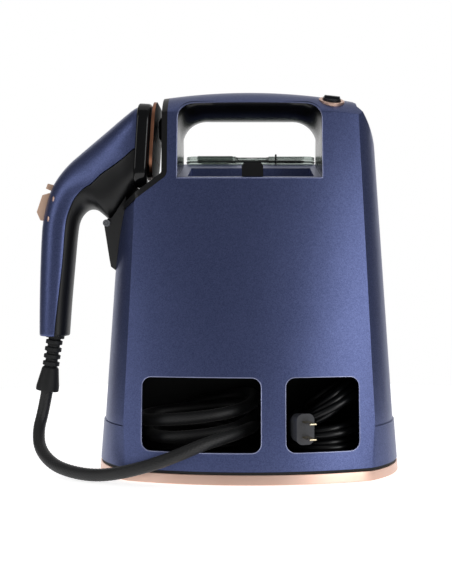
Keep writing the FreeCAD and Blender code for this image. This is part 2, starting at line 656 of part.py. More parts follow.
tab = prism(
    "tab", "XZ",
    [(LATCH_X - TAB_HALF, tab_low), (LATCH_X + TAB_HALF, tab_low), (LATCH_X + TAB_HALF, LATCH_TOP),
     (LATCH_X - TAB_HALF, LATCH_TOP)],
    (LATCH_Y - TAB_HALF_THICK, LATCH_Y + TAB_HALF_THICK), (2, 3), TAB_CORNER,
)
tab_pin = rod("tab_pin", PIN_RADIUS, (LATCH_X - PIN_HALF, LATCH_Y, LATCH_PIVOT_Z), 2 * PIN_HALF, "x")
sub_part("tank_latch", join("latch", tab, tab_pin))

# ---------------------------------------------------------------- power dial on the right of the roof
def roof_level(x, y):
    """The height of the crowned roof above a point of the plan."""
    line = Part.makeLine(Vector(x, y, 200), Vector(x, y, 400))
    return max(vertex.Z for vertex in hull_block.Shape.common(line).Vertexes)


side_tilt = Rotation(Vector(0, 1, 0), size("dial_tilt_side"))
dial_turn = side_tilt * Rotation(Vector(1, 0, 0), size("dial_tilt_back"))
dial_spot = Vector(size("dial_x"), size("dial_y"), roof_level(size("dial_x"), size("dial_y")))


def on_dial(thing, lift):
    """Stands a piece on the roof along the dial's axis."""
    thing.Placement = FreeCAD.Placement(dial_spot + dial_turn.multVec(Vector(0, 0, lift)), dial_turn)
    return thing


def dial_disc(name, radius, height, lift):
    disc = doc.addObject("Part::Cylinder", name)
    disc.setExpression("Radius", cell(radius))
    disc.setExpression("Height", cell(height))
    return on_dial(disc, lift)


BEZEL_SINK = 4.2
SHAFT_RADIUS, SHAFT_PLAY, SHAFT_LENGTH = 2.5, 0.05, 16
ENCODER_RADIUS, ENCODER_HEIGHT, ENCODER_PLAY = 6, 7, 0.3
BAR_WIDTH, BAR_HEIGHT = 3, 2
bezel_disc = dial_disc("bezel_disc", "bezel_radius", f"{BEZEL_SINK} + 1", -BEZEL_SINK)
bezel_bore = dial_disc("bezel_bore", "dial_radius + 0.4", 20, -BEZEL_SINK + 2)
shaft_bore = dial_disc("shaft_bore", SHAFT_RADIUS + SHAFT_PLAY, 30, -BEZEL_SINK - 20)
sub_part("dial_bezel", cut("bezel", bezel_disc, bezel_bore, shaft_bore))
dial_body = dial_disc("dial_body", "dial_radius", "dial_height + 1.6", -BEZEL_SINK + 2.3)
dial_shaft = dial_disc("dial_shaft", SHAFT_RADIUS, SHAFT_LENGTH, -BEZEL_SINK - 12)
grip_bar = doc.addObject("Part::Box", "grip_bar")
grip_bar.setExpression("Length", cell("2 * dial_radius - 2"))
grip_bar.Width = BAR_WIDTH
grip_bar.Height = BAR_HEIGHT
bar_lift = -BEZEL_SINK + 3.7 + size("dial_height")
bar_shift = dial_turn.multVec(Vector(-size("dial_radius") + 1, -BAR_WIDTH / 2, bar_lift))
grip_bar.Placement = FreeCAD.Placement(dial_spot + bar_shift, dial_turn)
sub_part("power_dial", join("dial", dial_body, dial_shaft, grip_bar))
encoder = dial_disc("encoder_block", ENCODER_RADIUS, ENCODER_HEIGHT, -BEZEL_SINK - ENCODER_HEIGHT)
encoder_bore = dial_disc("encoder_bore", SHAFT_RADIUS + SHAFT_PLAY, 30, -BEZEL_SINK - 20)
sub_part("dial_encoder", cut("encoder", encoder, encoder_bore))
dial_tool = dial_disc("dial_tool", "bezel_radius + fit_gap", 30, -BEZEL_SINK)
encoder_tool = dial_disc("encoder_tool", ENCODER_RADIUS + ENCODER_PLAY, 10, -BEZEL_SINK - 8)
sub_part("top_cover", cut("cover_with_dial", cover_blank, dial_tool, encoder_tool))

# ---------------------------------------------------------------- dock and cradle
strip = cut("strip", notch("strip_notch", "0"), notch("strip_room", "dock_trim"))
strip_reach = box("strip_reach", ("-dock_face - dock_run + 7", 0), (-far, far), (0, "crown_level + 30"))
dock_recess = box(
    "dock_recess", ("-dock_face - dock_trim - 1", "-dock_face - dock_trim + dock_recess"),
    ("-dock_window_half", "dock_window_half"), ("dock_window_low", "dock_window_high"),
)
trim = cut("trim", common("trim_block", strip, strip_reach, hull_block), dock_recess)
sub_part("dock_trim", trim)
liner_x = "-dock_face - dock_trim + dock_recess"
bumper = prism(
    "bumper", "XZ",
    [(liner_x, 298), (liner_x, 320), (-80.2, 320), (-82.2, 315), (-82.2, 301), (-80.8, 298)],
    (-14, 14),
)
sub_part("dock_bumper", bumper)

LIP_X, LIP_Z, LIP_RADIUS, LIP_BORE_RADIUS, LIP_HALF = -126.5, 222.8, 3.5, 2.1, 20
HOOK_SIDE = [
    (-106, 238), (-109.8, 246), (-118.4, 232.7), (-122.4, 227.4), (-126.5, 226.2), (-129.8, 221.5),
    (-125.3, 183.6), (-119.7, 179), (-112, 184), (-104, 200),
]
HOOK_FRONT = [
    (-11, 178), (11, 178), (18, 190), (31, 236), (31, 250), (-31, 250), (-31, 236), (-18, 190),
]
hook_side = prism("hook_side", "XZ", HOOK_SIDE, (-40, 40))
hook_front = prism("hook_front", "YZ", HOOK_FRONT, (-far, -90))
lip = rod("lip", LIP_RADIUS, (LIP_X, -LIP_HALF, LIP_Z), 2 * LIP_HALF, "y")
lip_bore = rod("lip_bore", LIP_BORE_RADIUS, (LIP_X, -LIP_HALF - 10, LIP_Z), 2 * LIP_HALF + 20, "y")
hook_blank = join("hook_blank", common("hook_block", hook_side, hook_front), lip)
sub_part("cradle_hook", cut("hook", hook_blank, panel_core_tool, trim, lip_bore))

# ---------------------------------------------------------------- steam generator and pump on the deck
PUMP_Z, PUMP_RADIUS, PUMP_Y = 117, 15, -8
PUMP_REAR, PUMP_LENGTH, PUMP_STUB_RADIUS = 52, 40, 6
GROMMET_PLACES = [(-40, -22), (-40, 18), (10, -22), (10, 18)]
GROMMET_RADIUS, GROMMET_HEIGHT = 5, 7
BOILER_LEFT, BOILER_RIGHT, BOILER_REAR, BOILER_FRONT = -52, 22, -32, 28
BOILER_HEIGHT, BOILER_WALL, BOILER_CORNER, BOILER_LID = 44, 6, 9, 4
PORT_RADIUS, STEAM_PORT_Y, STEAM_PORT_RISE = 3.2, 8, 30
HEATER_RADIUS, HEATER_Y, HEATER_RISE, HEATER_LENGTH = 4, -6, 12, 58


def boiler_outline(inset):
    left, right = BOILER_LEFT + inset, BOILER_RIGHT - inset
    rear, front = BOILER_REAR + inset, BOILER_FRONT - inset
    return [(left, rear), (right, rear), (right, front), (left, front)]


grommets = [
    rod(f"grommet_{number}", GROMMET_RADIUS, (x, y, deck_top), GROMMET_HEIGHT)
    for number, (x, y) in enumerate(GROMMET_PLACES)
]
sub_part("boiler_grommets", join("grommets", *grommets))
boiler_low = f"{deck_top} + {GROMMET_HEIGHT}"
boiler_top = f"{boiler_low} + {BOILER_HEIGHT}"
boiler_block = prism(
    "boiler_block", "XY", boiler_outline(0), (boiler_low, boiler_top), (0, 1, 2, 3), BOILER_CORNER,
)
boiler_room = prism(
    "boiler_room", "XY", boiler_outline(BOILER_WALL),
    (f"{boiler_low} + {BOILER_WALL}", f"{boiler_top} + 1"), (0, 1, 2, 3), BOILER_CORNER - 5,
)
steam_port = rod(
    "steam_port", PORT_RADIUS, (BOILER_LEFT - 8, STEAM_PORT_Y, f"{boiler_low} + {STEAM_PORT_RISE}"), 20, "x"
)
water_port = rod("water_port", PORT_RADIUS, (BOILER_RIGHT - 12, PUMP_Y, PUMP_Z), 20, "x")
sub_part("boiler_body", cut("boiler", boiler_block, boiler_room, steam_port, water_port))
sub_part("boiler_cover", prism(
    "boiler_lid", "XY", boiler_outline(0), (boiler_top, f"{boiler_top} + {BOILER_LID}"),
    (0, 1, 2, 3), BOILER_CORNER,
))
heater_place = (BOILER_LEFT + BOILER_WALL, HEATER_Y, f"{boiler_low} + {HEATER_RISE}")
sub_part("heating_element", rod("heater_bar", HEATER_RADIUS, heater_place, HEATER_LENGTH, "x"))

# a thermostat and a thermal fuse on the boiler's cover
STAT_X, STAT_Y, STAT_RADIUS, STAT_HEIGHT, STAT_CAP_RADIUS, STAT_CAP_HEIGHT = -34, -10, 8, 6, 5, 4
FUSE_X, FUSE_Y, FUSE_RADIUS, FUSE_LENGTH, CLIP_HALF_LENGTH, CLIP_HALF_WIDTH = -24, 14, 2.5, 26, 5, 4
lid_top = f"{boiler_top} + {BOILER_LID}"
stat_disc = rod("thermostat_body", STAT_RADIUS, (STAT_X, STAT_Y, lid_top), STAT_HEIGHT)
stat_cap = rod(
    "thermostat_cap", STAT_CAP_RADIUS, (STAT_X, STAT_Y, f"{lid_top} + {STAT_HEIGHT}"), STAT_CAP_HEIGHT
)
fuse_tube = rod("fuse_tube", FUSE_RADIUS, (FUSE_X, FUSE_Y, f"{lid_top} + {FUSE_RADIUS}"), FUSE_LENGTH, "x")
fuse_middle = FUSE_X + FUSE_LENGTH / 2
fuse_clip = box(
    "fuse_clip", (fuse_middle - CLIP_HALF_LENGTH, fuse_middle + CLIP_HALF_LENGTH),
    (FUSE_Y - CLIP_HALF_WIDTH, FUSE_Y + CLIP_HALF_WIDTH), (lid_top, f"{lid_top} + {FUSE_RADIUS}"),
)
sub_part("thermal_cutouts", join("cutouts", stat_disc, stat_cap, join("fuse", fuse_tube, fuse_clip)))

pump_coil = rod("pump_coil", PUMP_RADIUS, (PUMP_REAR, PUMP_Y, PUMP_Z), PUMP_LENGTH, "x")
pump_nose = rod("pump_nose", PUMP_STUB_RADIUS, (PUMP_REAR - 16, PUMP_Y, PUMP_Z), 16, "x")
pump_tail = rod("pump_tail", PUMP_STUB_RADIUS, (PUMP_REAR + PUMP_LENGTH, PUMP_Y, PUMP_Z), 12, "x")
sub_part("water_pump", join("pump", pump_coil, pump_nose, pump_tail))
SADDLE_INSET, SADDLE_HALF = 4, 20
saddle_block = box(
    "saddle_block", (PUMP_REAR + SADDLE_INSET, PUMP_REAR + PUMP_LENGTH - SADDLE_INSET),
    (PUMP_Y - SADDLE_HALF, PUMP_Y + SADDLE_HALF), (deck_top, PUMP_Z - SADDLE_INSET),
)
saddle_bore = rod("saddle_bore", PUMP_RADIUS + 0.1, (PUMP_REAR - 2, PUMP_Y, PUMP_Z), PUMP_LENGTH + 10, "x")
sub_part("pump_saddle", cut("saddle", saddle_block, saddle_bore))

# the control board on its bracket, with a relay, a capacitor and a chip
BRACKET_LEFT, BRACKET_RIGHT, BRACKET_REAR, BRACKET_WALL, BRACKET_HEIGHT, BRACKET_FOOT = 36, 98, 14, 2, 120, 16
BOARD_INSET, BOARD_THICK, BOARD_LOW, BOARD_HIGH = 2, 1.6, 38, 118
board_face = BRACKET_REAR - BOARD_THICK


def above_deck(low, high):
    return (f"{deck_top} + {low}", f"{deck_top} + {high}")


bracket_back = box(
    "bracket_back", (BRACKET_LEFT, BRACKET_RIGHT), (BRACKET_REAR, BRACKET_REAR + BRACKET_WALL),
    above_deck(0, BRACKET_HEIGHT),
)
bracket_foot = box(
    "bracket_foot", (BRACKET_LEFT, BRACKET_RIGHT), (BRACKET_REAR + BRACKET_WALL, BRACKET_REAR + BRACKET_FOOT),
    above_deck(0, BRACKET_WALL),
)
sub_part("board_bracket", join("bracket", bracket_back, bracket_foot))
board_plate = box(
    "board_plate", (BRACKET_LEFT + BOARD_INSET, BRACKET_RIGHT - 2 * BOARD_INSET), (board_face, BRACKET_REAR),
    above_deck(BOARD_LOW, BOARD_HIGH),
)
relay = box("relay", (46, 62), (0, board_face), above_deck(48, 66))
capacitor = rod("capacitor", 6, (78, -2, f"{deck_top} + 60"), board_face + 2, "y")
chip = box("chip", (58, 74), (9, board_face), above_deck(86, 102))
sub_part("control_board", join("board", board_plate, relay, capacitor, chip))


# ---------------------------------------------------------------- tubes and cords
def rounded_path(points):
    """Straight runs joined by tangent arcs, each as large as its two runs allow. Gives edges and radii."""
    arcs, radii = [], []
    for before, here, after in zip(points, points[1:], points[2:]):
        run_in, run_out = before - here, after - here
        half_turn = (math.pi - run_in.getAngle(run_out)) / 2
        tangent = 0.45 * min(run_in.Length, run_out.Length)
        radius = tangent / math.tan(half_turn)
        bisector = (run_in.normalize() + run_out.normalize()).normalize()
        centre = here + bisector * (radius / math.cos(half_turn))
        arcs.append((here + run_in * tangent, centre - bisector * radius, here + run_out * tangent))
        radii.append(radius)
    edges, last = [], points[0]
    for start, middle, end in arcs:
        edges.append(Part.LineSegment(last, start).toShape())
        edges.append(Part.Arc(start, middle, end).toShape())
        last = end
    edges.append(Part.LineSegment(last, points[-1]).toShape())
    return edges, radii


def tube_shape(name, points, diameter):
    """A solid round tube along a rounded path."""
    points = [Vector(*point) for point in points]
    edges, radii = rounded_path(points)
    path = Part.Wire(edges)
    heading = points[1] - points[0]
    ring = Part.Wire([Part.makeCircle(diameter / 2, points[0], heading)])
    solid = path.makePipeShell([ring], True, False)
    wanted = math.pi * (diameter / 2) ** 2 * path.Length
    if abs(solid.Volume / wanted - 1) > 0.02:
        raise ValueError(f"{name}: volume {solid.Volume:.0f} is not section times length {wanted:.0f}")
    tightest = min(radii) if radii else 0
    print(f"{name}: length {path.Length:.0f}, radii {[round(r) for r in radii]}, tightest {tightest:.0f}")
    return solid


def tubes(name, diameter, *routes):
    """One node that holds each route's tube."""
    solids = [tube_shape(f"{name}_{number}", route, diameter) for number, route in enumerate(routes)]
    shape = solids[0] if len(solids) == 1 else Part.makeCompound(solids)
    return sub_part(name, feature(name + "_run", shape))


hose_diameter, cord_diameter = size("hose_diameter"), size("cord_diameter")
HANDLE_END = Vector(-178.7, 0, 120.2)  # the middle of the handset's lower end
relief_turn = Rotation(Vector(0, 1, 0), 180 + size("relief_tilt"))
relief_way = relief_turn.multVec(Vector(0, 0, 1))
relief_end = HANDLE_END + relief_way * (size("relief_length") - 1)
hose_start = relief_end + relief_way * 0.3
hose_route = [
    hose_start, hose_start + relief_way * 20, (-189.5, -10, 31), (-184, -27, 16), (-170, -46, 8),
    (-149, -63, 5.9), (-125, -78, 5.9), (-101, -92, 12), (-79, -101.5, 22), (-60, -103, 30),
    (-42, -97, 36), (-25, -83, 38.5), (-13, -65, 39.5), (-4.5, -49.5, 40),
]
HOSE_COIL_X, HOSE_COIL_Y = -46, -20
hose_tail = [
    (HOSE_COIL_X - 28, HOSE_END_Y, HOSE_END_Z), (-size("hose_bin_left") + 6.3, HOSE_END_Y, HOSE_END_Z)
]
tubes("hose_tube", hose_diameter, hose_route, hose_tail)


def coil(name, centre, outer, inner, low, high_left, high_right):
    """A loose coil's outer shape: a ring with a sloping top."""
    x, y = centre
    height = max(high_left, high_right) - low
    ring = Part.makeCylinder(outer, height, Vector(x, y, low)).cut(
        Part.makeCylinder(inner, height, Vector(x, y, low))
    )
    corners = [(x - outer, low), (x + outer, low), (x + outer, high_right), (x - outer, high_left)]
    spots = [Vector(cx, y - outer - 1, cz) for cx, cz in corners]
    slope = Part.Face(Part.makePolygon(spots + spots[:1])).extrude(Vector(0, 2 * outer + 2, 0))
    return sub_part(name, feature(name + "_solid", ring.common(slope)))


bend = size("bend_radius")
coil_floor = size("bin_floor") + 0.3
hose_half = hose_diameter / 2
coil("hose_coil", (HOSE_COIL_X, HOSE_COIL_Y), bend + hose_half, bend - hose_half, coil_floor, 72, 60)
CORD_COIL_X, CORD_COIL_Y, CORD_COIL_OUTER, CORD_COIL_INNER = 66, -20, 39.5, 20
coil("cord_coil", (CORD_COIL_X, CORD_COIL_Y), CORD_COIL_OUTER, CORD_COIL_INNER, coil_floor, 42, 86)
bin_back = size("bin_back")
cord_root = [(CORD_END_X, bin_back - 8.3, CORD_END_Z), (CORD_END_X, CORD_COIL_Y + 17, CORD_END_Z)]

PLUG_FACE, PLUG_YAW, PLUG_LENGTH = Vector(47, -87, 47.5), 20, 33
PLUG_WIDE, PLUG_TALL, BLADE_GAP = 16, 26, 12.7
plug_way = Vector(math.sin(math.radians(PLUG_YAW)), -math.cos(math.radians(PLUG_YAW)), 0)
plug_tail = PLUG_FACE - plug_way * PLUG_LENGTH
tubes("cord_leads", cord_diameter, cord_root, [plug_tail - plug_way * 0.4, (29.5, -37, 46)])


def plug_section(back, wide, tall):
    """A rounded rectangle square to the plug's axis, some way behind its face."""
    radius = min(wide, tall) * 0.35
    slab = Part.makePlane(wide, tall, Vector(-wide / 2, -tall / 2, 0))
    block = slab.extrude(Vector(0, 0, 1))
    upright = [edge for edge in block.Edges if abs(edge.Vertexes[0].Z - edge.Vertexes[-1].Z) > 0.5]
    block = block.makeFillet(radius, upright)
    face = min(block.Faces, key=lambda f: f.CenterOfMass.z)
    wire = face.OuterWire.copy()
    turn = Rotation(Vector(0, 0, 1), PLUG_YAW) * Rotation(Vector(1, 0, 0), 90)
    wire.Placement = FreeCAD.Placement(PLUG_FACE - plug_way * back, turn)
    return wire


plug_rows = [
    (0, PLUG_WIDE, PLUG_TALL), (14, PLUG_WIDE - 1, PLUG_TALL - 3), (24, 11, 14), (PLUG_LENGTH, 8, 8),
]
plug_shape = Part.makeLoft([plug_section(*row) for row in plug_rows], True, True)
sub_part("plug_body", feature("plug_moulding", plug_shape))
blades = []
BLADE_LONG, BLADE_WIDE, BLADE_THICK = 16, 6.3, 1.5
for side in (-1, 1):
    blade_corner = Vector(-BLADE_WIDE / 2, -BLADE_LONG, -BLADE_THICK / 2)
    blade = Part.makeBox(BLADE_WIDE, BLADE_LONG, BLADE_THICK, blade_corner)
    blade.Placement = FreeCAD.Placement(
        PLUG_FACE + Vector(0, 0, side * BLADE_GAP / 2), Rotation(Vector(0, 0, 1), PLUG_YAW)
    )
    blades.append(blade)
sub_part("plug_blades", feature("blade_pair", Part.makeCompound(blades)))

# glands, and the pipes from tank to pump, to boiler and to hose
GLAND_RADIUS, GLAND_LENGTH, STEM_WALL, GLAND_BORE_RADIUS = 9.5, 6, 1.4, 3
CUFF_RADIUS, CUFF_LENGTH, CUFF_STEM_WALL = 7, 8, 1.9
gland_outer = rod("gland_outer", GLAND_RADIUS, ("-hose_bin_left", HOSE_END_Y, HOSE_END_Z), GLAND_LENGTH, "x")
gland_stem = rod(
    "gland_stem", f"hose_diameter / 2 + {STEM_WALL}",
    ("-hose_bin_left - bin_wall - 3", HOSE_END_Y, HOSE_END_Z), "bin_wall + 3", "x",
)
gland_bore = rod(
    "gland_bore", GLAND_BORE_RADIUS, ("-hose_bin_left - 20", HOSE_END_Y, HOSE_END_Z), 24, "x"
)
sub_part("hose_gland", cut("gland", join("gland_blank", gland_outer, gland_stem), gland_bore))
cuff_outer = rod(
    "cuff_outer", CUFF_RADIUS, (CORD_END_X, f"bin_back - {CUFF_LENGTH}", CORD_END_Z), CUFF_LENGTH, "y"
)
cuff_stem = rod(
    "cuff_stem", f"cord_diameter / 2 + {CUFF_STEM_WALL}", (CORD_END_X, "bin_back - 1", CORD_END_Z), 6, "y"
)
sub_part("cord_gland", join("cord_gland_blank", cuff_outer, cuff_stem))
pipe_drop = -size("hose_bin_left") - size("bin_wall") - 3
deck_z = size("bin_roof") + size("bin_wall") + size("deck_wall")
boiler_z = deck_z + GROMMET_HEIGHT
port_z = boiler_z + STEAM_PORT_RISE
steam_route = [
    (pipe_drop - 0.4, HOSE_END_Y, HOSE_END_Z), (STEAM_PIPE_X, HOSE_END_Y, HOSE_END_Z + 8),
    (STEAM_PIPE_X + 1, HOSE_END_Y, HOSE_END_Z + 26), (-117, HOSE_END_Y, deck_z - 10),
    (-109, 21, deck_z + 16), (-90, 12, port_z - 2), (-68, STEAM_PORT_Y, port_z),
    (BOILER_LEFT + 1, STEAM_PORT_Y, port_z),
]
supply_route = [
    (SUPPLY_PIPE_X, SUPPLY_PIPE_Y, VALVE_Z + 9.1), (SUPPLY_PIPE_X, SUPPLY_PIPE_Y - 0.3, deck_z - 14),
    (SUPPLY_PIPE_X + 0.5, SUPPLY_PIPE_Y - 0.5, deck_z + 12), (14, SUPPLY_PIPE_Y - 1.2, deck_z + 21),
    (90, SUPPLY_PIPE_Y - 2, deck_z + 20), (108, 28, PUMP_Z - 4), (114, 8, PUMP_Z - 1),
    (112, PUMP_Y, PUMP_Z), (104.2, PUMP_Y, PUMP_Z),
]
feed_route = [(PUMP_REAR - 16.2, PUMP_Y, PUMP_Z), (BOILER_RIGHT - 1, PUMP_Y, PUMP_Z)]
PIPE_DIAMETER, STEAM_TUBE_DIAMETER = 5, 6
tubes("inner_pipes", PIPE_DIAMETER, steam_route, supply_route, feed_route)

# ---------------------------------------------------------------- handset
HANDSET_OUTER = [
    (-99.8, 328), (-164.4, 278.7), (-180, 259.4), (-190.6, 217.5), (-192.5, 153), (-192.5, 120.4),
    (-165.5, 120.4), (-164.9, 134.6), (-158, 213), (-156.3, 224.8), (-150.8, 232.8), (-141.8, 236.3),
    (-133.5, 234.6), (-127.6, 229), (-122.9, 228), (-118.8, 233.1), (-110.5, 246.9), (-100.6, 254.3),
]
HANDSET_SEAM = [
    (-95, 286), (-99.5, 289), (-151, 252), (-161, 239), (-166.5, 223.6), (-168.5, 189.5),
    (-176, 123.9), (-176, 110), (-230, 110), (-230, 360), (-95, 360),
]
HANDSET_PLAN = [(-98, 42), (-128, 36), (-150, 25), (-166, 19), (-186, 19), (-194, 13)]
GRIP_HALF = 19
HANDSET_FRONT = [
    (42, 262), (42, 319), (35, 330), (-35, 330), (-42, 319), (-42, 262), (-34, 250), (-GRIP_HALF, 236),
    (-GRIP_HALF, 110), (GRIP_HALF, 110), (GRIP_HALF, 236), (34, 250),
]


def slab(points, axis, reach, inset=0):
    """An outline extruded both ways along one axis, drawn in by an inset."""
    low = -reach
    lift = {"x": lambda a, b: Vector(low, a, b), "y": lambda a, b: Vector(a, low, b),
            "z": lambda a, b: Vector(a, b, low)}[axis]
    spots = [lift(*point) for point in points]
    wire = Part.makePolygon(spots + spots[:1])
    if inset:
        wire = wire.makeOffset2D(-inset, 2)
    way = {"x": Vector(1, 0, 0), "y": Vector(0, 1, 0), "z": Vector(0, 0, 1)}[axis]
    return Part.Face(wire).extrude(way * (2 * reach))


plan_points = HANDSET_PLAN + [(x, -y) for x, y in reversed(HANDSET_PLAN)]


def handset_block(inset):
    """The handset's solid form: its side view, plan and front view made to agree."""
    side = slab(HANDSET_OUTER, "y", 100, inset)
    plan = slab(plan_points, "z", 400, inset)
    front = slab(HANDSET_FRONT, "x", 300, inset)
    return side.common(plan).common(front)


TRIGGER_LINE_TOP, TRIGGER_LINE_FOOT = Vector(-180, 0, 259.4), Vector(-190.6, 0, 217.5)
along_shell = (TRIGGER_LINE_FOOT - TRIGGER_LINE_TOP).normalize()
into_shell = Vector(-along_shell.z, 0, along_shell.x)


def on_shell(depth, along):
    """A point some way into the shell and some way down its outer line."""
    return TRIGGER_LINE_TOP + into_shell * depth + along_shell * along


def shell_prism(rows, half):
    """An outline in depth and length on the shell's line, made as wide as twice a half width."""
    spots = [on_shell(depth, along) - Vector(0, half, 0) for depth, along in rows]
    return Part.Face(Part.makePolygon(spots + spots[:1])).extrude(Vector(0, 2 * half, 0))


trigger_half, slot_gap = size("trigger_half"), size("slot_gap")
TRIGGER_ROWS = [(-0.2, 8.6), (-6.2, 12.2), (-7.4, 28.5), (-2.2, 35.2), (3.6, 33.2), (3.6, 10.2)]
trigger_shape = shell_prism(TRIGGER_ROWS, trigger_half)


def slot_rows(start, end):
    """An outline through the shell's wall, longer than a piece by the slot gap at either end."""
    outside, inside = -12, 8
    start, end = start - slot_gap, end + slot_gap
    return [(outside, start), (outside, end), (inside, end), (inside, start)]


trigger_slot = shell_prism(slot_rows(8.2, 35.2), trigger_half + slot_gap)
LOCK_ROWS = [(-4.6, 0.6), (-5.2, 5.6), (3.4, 6.6), (3.4, 0.6)]
LOCK_HALF, LOCK_TRAVEL = 5, 2
lock_shape = shell_prism(LOCK_ROWS, LOCK_HALF)
lock_slot = shell_prism(slot_rows(0.6, 6.6), LOCK_HALF + LOCK_TRAVEL + slot_gap)
handset_skin = handset_block(0).cut(handset_block(size("shell_wall")))
FOOT_BORE_RADIUS = 4.2
handle_foot = Part.makeCylinder(FOOT_BORE_RADIUS, 30, Vector(HANDLE_END.x, 0, 105))
back_region = slab(HANDSET_SEAM, "y", 120)
back_shell = handset_skin.common(back_region).cut(trigger_slot).cut(lock_slot).cut(handle_foot)
front_shell = handset_skin.cut(back_region).cut(handle_foot)
sub_part("steam_trigger", feature("trigger", trigger_shape))
sub_part("trigger_lock", feature("lock", lock_shape))

SHELL_PIN_RADIUS = 1.4
pin_spots = [(5.6, 5.2), (4.8, 28)]
pins = [
    Part.makeCylinder(SHELL_PIN_RADIUS, 40, on_shell(depth, along) - Vector(0, 20, 0), Vector(0, 1, 0))
    for depth, along in pin_spots
]
pins = [pin.common(handset_block(-0.3)).cut(handset_block(size("shell_wall"))) for pin in pins]
side_pins = Part.makeCompound([solid for pin in pins for solid in pin.Solids])
back_shell = back_shell.cut(side_pins)
sub_part("shell_pins", feature("pin_set", side_pins))

# microswitch behind the trigger on a carrier between the shell's side walls
side_room = GRIP_HALF - size("shell_wall") - 0.1
SWITCH_FACE, SWITCH_BACK, CARRIER_BACK, SWITCH_HALF = 7.2, 11.6, 13.4, 5
switch_shape = shell_prism(
    [(SWITCH_FACE, 14), (SWITCH_FACE, 31), (SWITCH_BACK, 31), (SWITCH_BACK, 14)], SWITCH_HALF
)
carrier_shape = shell_prism(
    [(SWITCH_BACK, 11), (SWITCH_BACK, 34), (CARRIER_BACK, 34), (CARRIER_BACK, 11)], side_room
)
carrier_shape = carrier_shape.common(handset_block(size("shell_wall") + 0.1))
sub_part("microswitch", feature("switch_block", switch_shape.fuse(carrier_shape)))

# head: ring, steam chamber and soleplate, all square to a plate that leans a little
PLATE_TOP, PLATE_FOOT = Vector(-82.4, 0, 331.7), Vector(-86.5, 0, 264.2)
plate_up = (PLATE_TOP - PLATE_FOOT).normalize()
plate_out = Vector(plate_up.z, 0, -plate_up.x)


def head_slab(behind, depth, low, high, half, corner):
    """A round-cornered slab behind the soleplate's face, between two places up its height."""
    base = PLATE_FOOT - plate_out * (behind + depth) + plate_up * low
    block = Part.makeBox(depth, 2 * half, high - low)
    flat = [edge for edge in block.Edges if abs(edge.Vertexes[0].X - edge.Vertexes[-1].X) > depth / 2]
    block = block.makeFillet(corner, flat)
    turn = Rotation(Vector(0, 1, 0), math.degrees(math.atan2(-plate_out.z, plate_out.x)))
    block.Placement = FreeCAD.Placement(base - Vector(0, half, 0), turn)
    return block


plate_height = (PLATE_TOP - PLATE_FOOT).Length
plate_half, ring_half, thick = size("plate_half"), size("ring_half"), size("plate_thickness")
PLATE_CORNER, CHAMBER_DEPTH, MANIFOLD_DEPTH = 22, 7.5, 6
sole = head_slab(0, thick, 0, plate_height, plate_half, PLATE_CORNER)
hole_spots = [(y, z) for z in (16, 34, 52) for y in (-24, -8, 8, 24)]
for y, z in hole_spots:
    start = PLATE_FOOT + plate_up * z + Vector(0, y, 0) - plate_out * (thick + 1)
    sole = sole.cut(Part.makeCylinder(size("steam_hole_radius"), thick + 2, start, plate_out))
sub_part("steam_plate", feature("soleplate", sole))
chamber = head_slab(thick, CHAMBER_DEPTH, 3, plate_height - 4, plate_half - 3, PLATE_CORNER - 2)
manifold = head_slab(thick + CHAMBER_DEPTH, MANIFOLD_DEPTH, 12, plate_height - 14, plate_half - 12, 10)
chamber_room = head_slab(thick - 0.1, 4.2, 10, plate_height - 11, plate_half - 10, 14)
sub_part("steam_chamber", feature("chamber", chamber.fuse(manifold).cut(chamber_room)))
mouth = head_slab(thick + 7, 16, 9, plate_height - 11, plate_half - 11, 12)
sub_part("handset_back_shell", feature("back_shell", back_shell.cut(mouth)))
sub_part("handset_inner_shell", feature("inner_shell", front_shell.cut(mouth)))
RING_BEHIND, RING_DEPTH, RING_DROP = 2.6, 9.6, 6.5
ring = head_slab(
    thick + RING_BEHIND, RING_DEPTH, -RING_DROP, plate_height - 1.5, ring_half, PLATE_CORNER + 2
)
ring = ring.cut(chamber).cut(head_slab(thick, 20, 6, plate_height - 9, plate_half - 7, 16))
ring = ring.cut(handset_block(0))
sub_part("head_ring", feature("ring", ring))

tubes("handset_steam_tube", STEAM_TUBE_DIAMETER, [
    (-101.7, 0, 288), (-116, 0, 283), (-136, 0, 268), (-155, 0, 252), (-166, 0, 232), (-169.5, 0, 205),
    (-173.5, 0, 165), (-178.7, 0, 120.4),
])

# strain relief: ribs above, a smooth flared sleeve below
relief_length = size("relief_length")
RIBS, RIB_PITCH, NECK_RADIUS, RIB_RADIUS, SLEEVE_RADIUS = 4, 6.6, 5.6, 7.6, 10.4
profile = [(0, -2), (RIB_RADIUS + 1, -2), (RIB_RADIUS + 1, 3), (NECK_RADIUS, 3.4)]
for rib in range(RIBS):
    top = 4.6 + rib * RIB_PITCH
    profile += [(NECK_RADIUS, top), (RIB_RADIUS, top + 0.6)]
    profile += [(RIB_RADIUS, top + 4), (NECK_RADIUS, top + 4.6)]
sleeve_top = 4.6 + RIBS * RIB_PITCH
profile += [(RIB_RADIUS, sleeve_top), (SLEEVE_RADIUS, relief_length - 4)]
profile += [(SLEEVE_RADIUS, relief_length), (0, relief_length)]
spots = [Vector(radius, 0, down) for radius, down in profile]
relief = Part.Face(Part.makePolygon(spots + spots[:1])).revolve(Vector(0, 0, 0), Vector(0, 0, 1), 360)
relief.Placement = FreeCAD.Placement(HANDLE_END - relief_way, relief_turn)
below_handle = Part.makeBox(60, 60, 100, Vector(HANDLE_END.x - 30, -30, HANDLE_END.z - 100))
sub_part("strain_relief", feature("relief", relief.common(below_handle)))

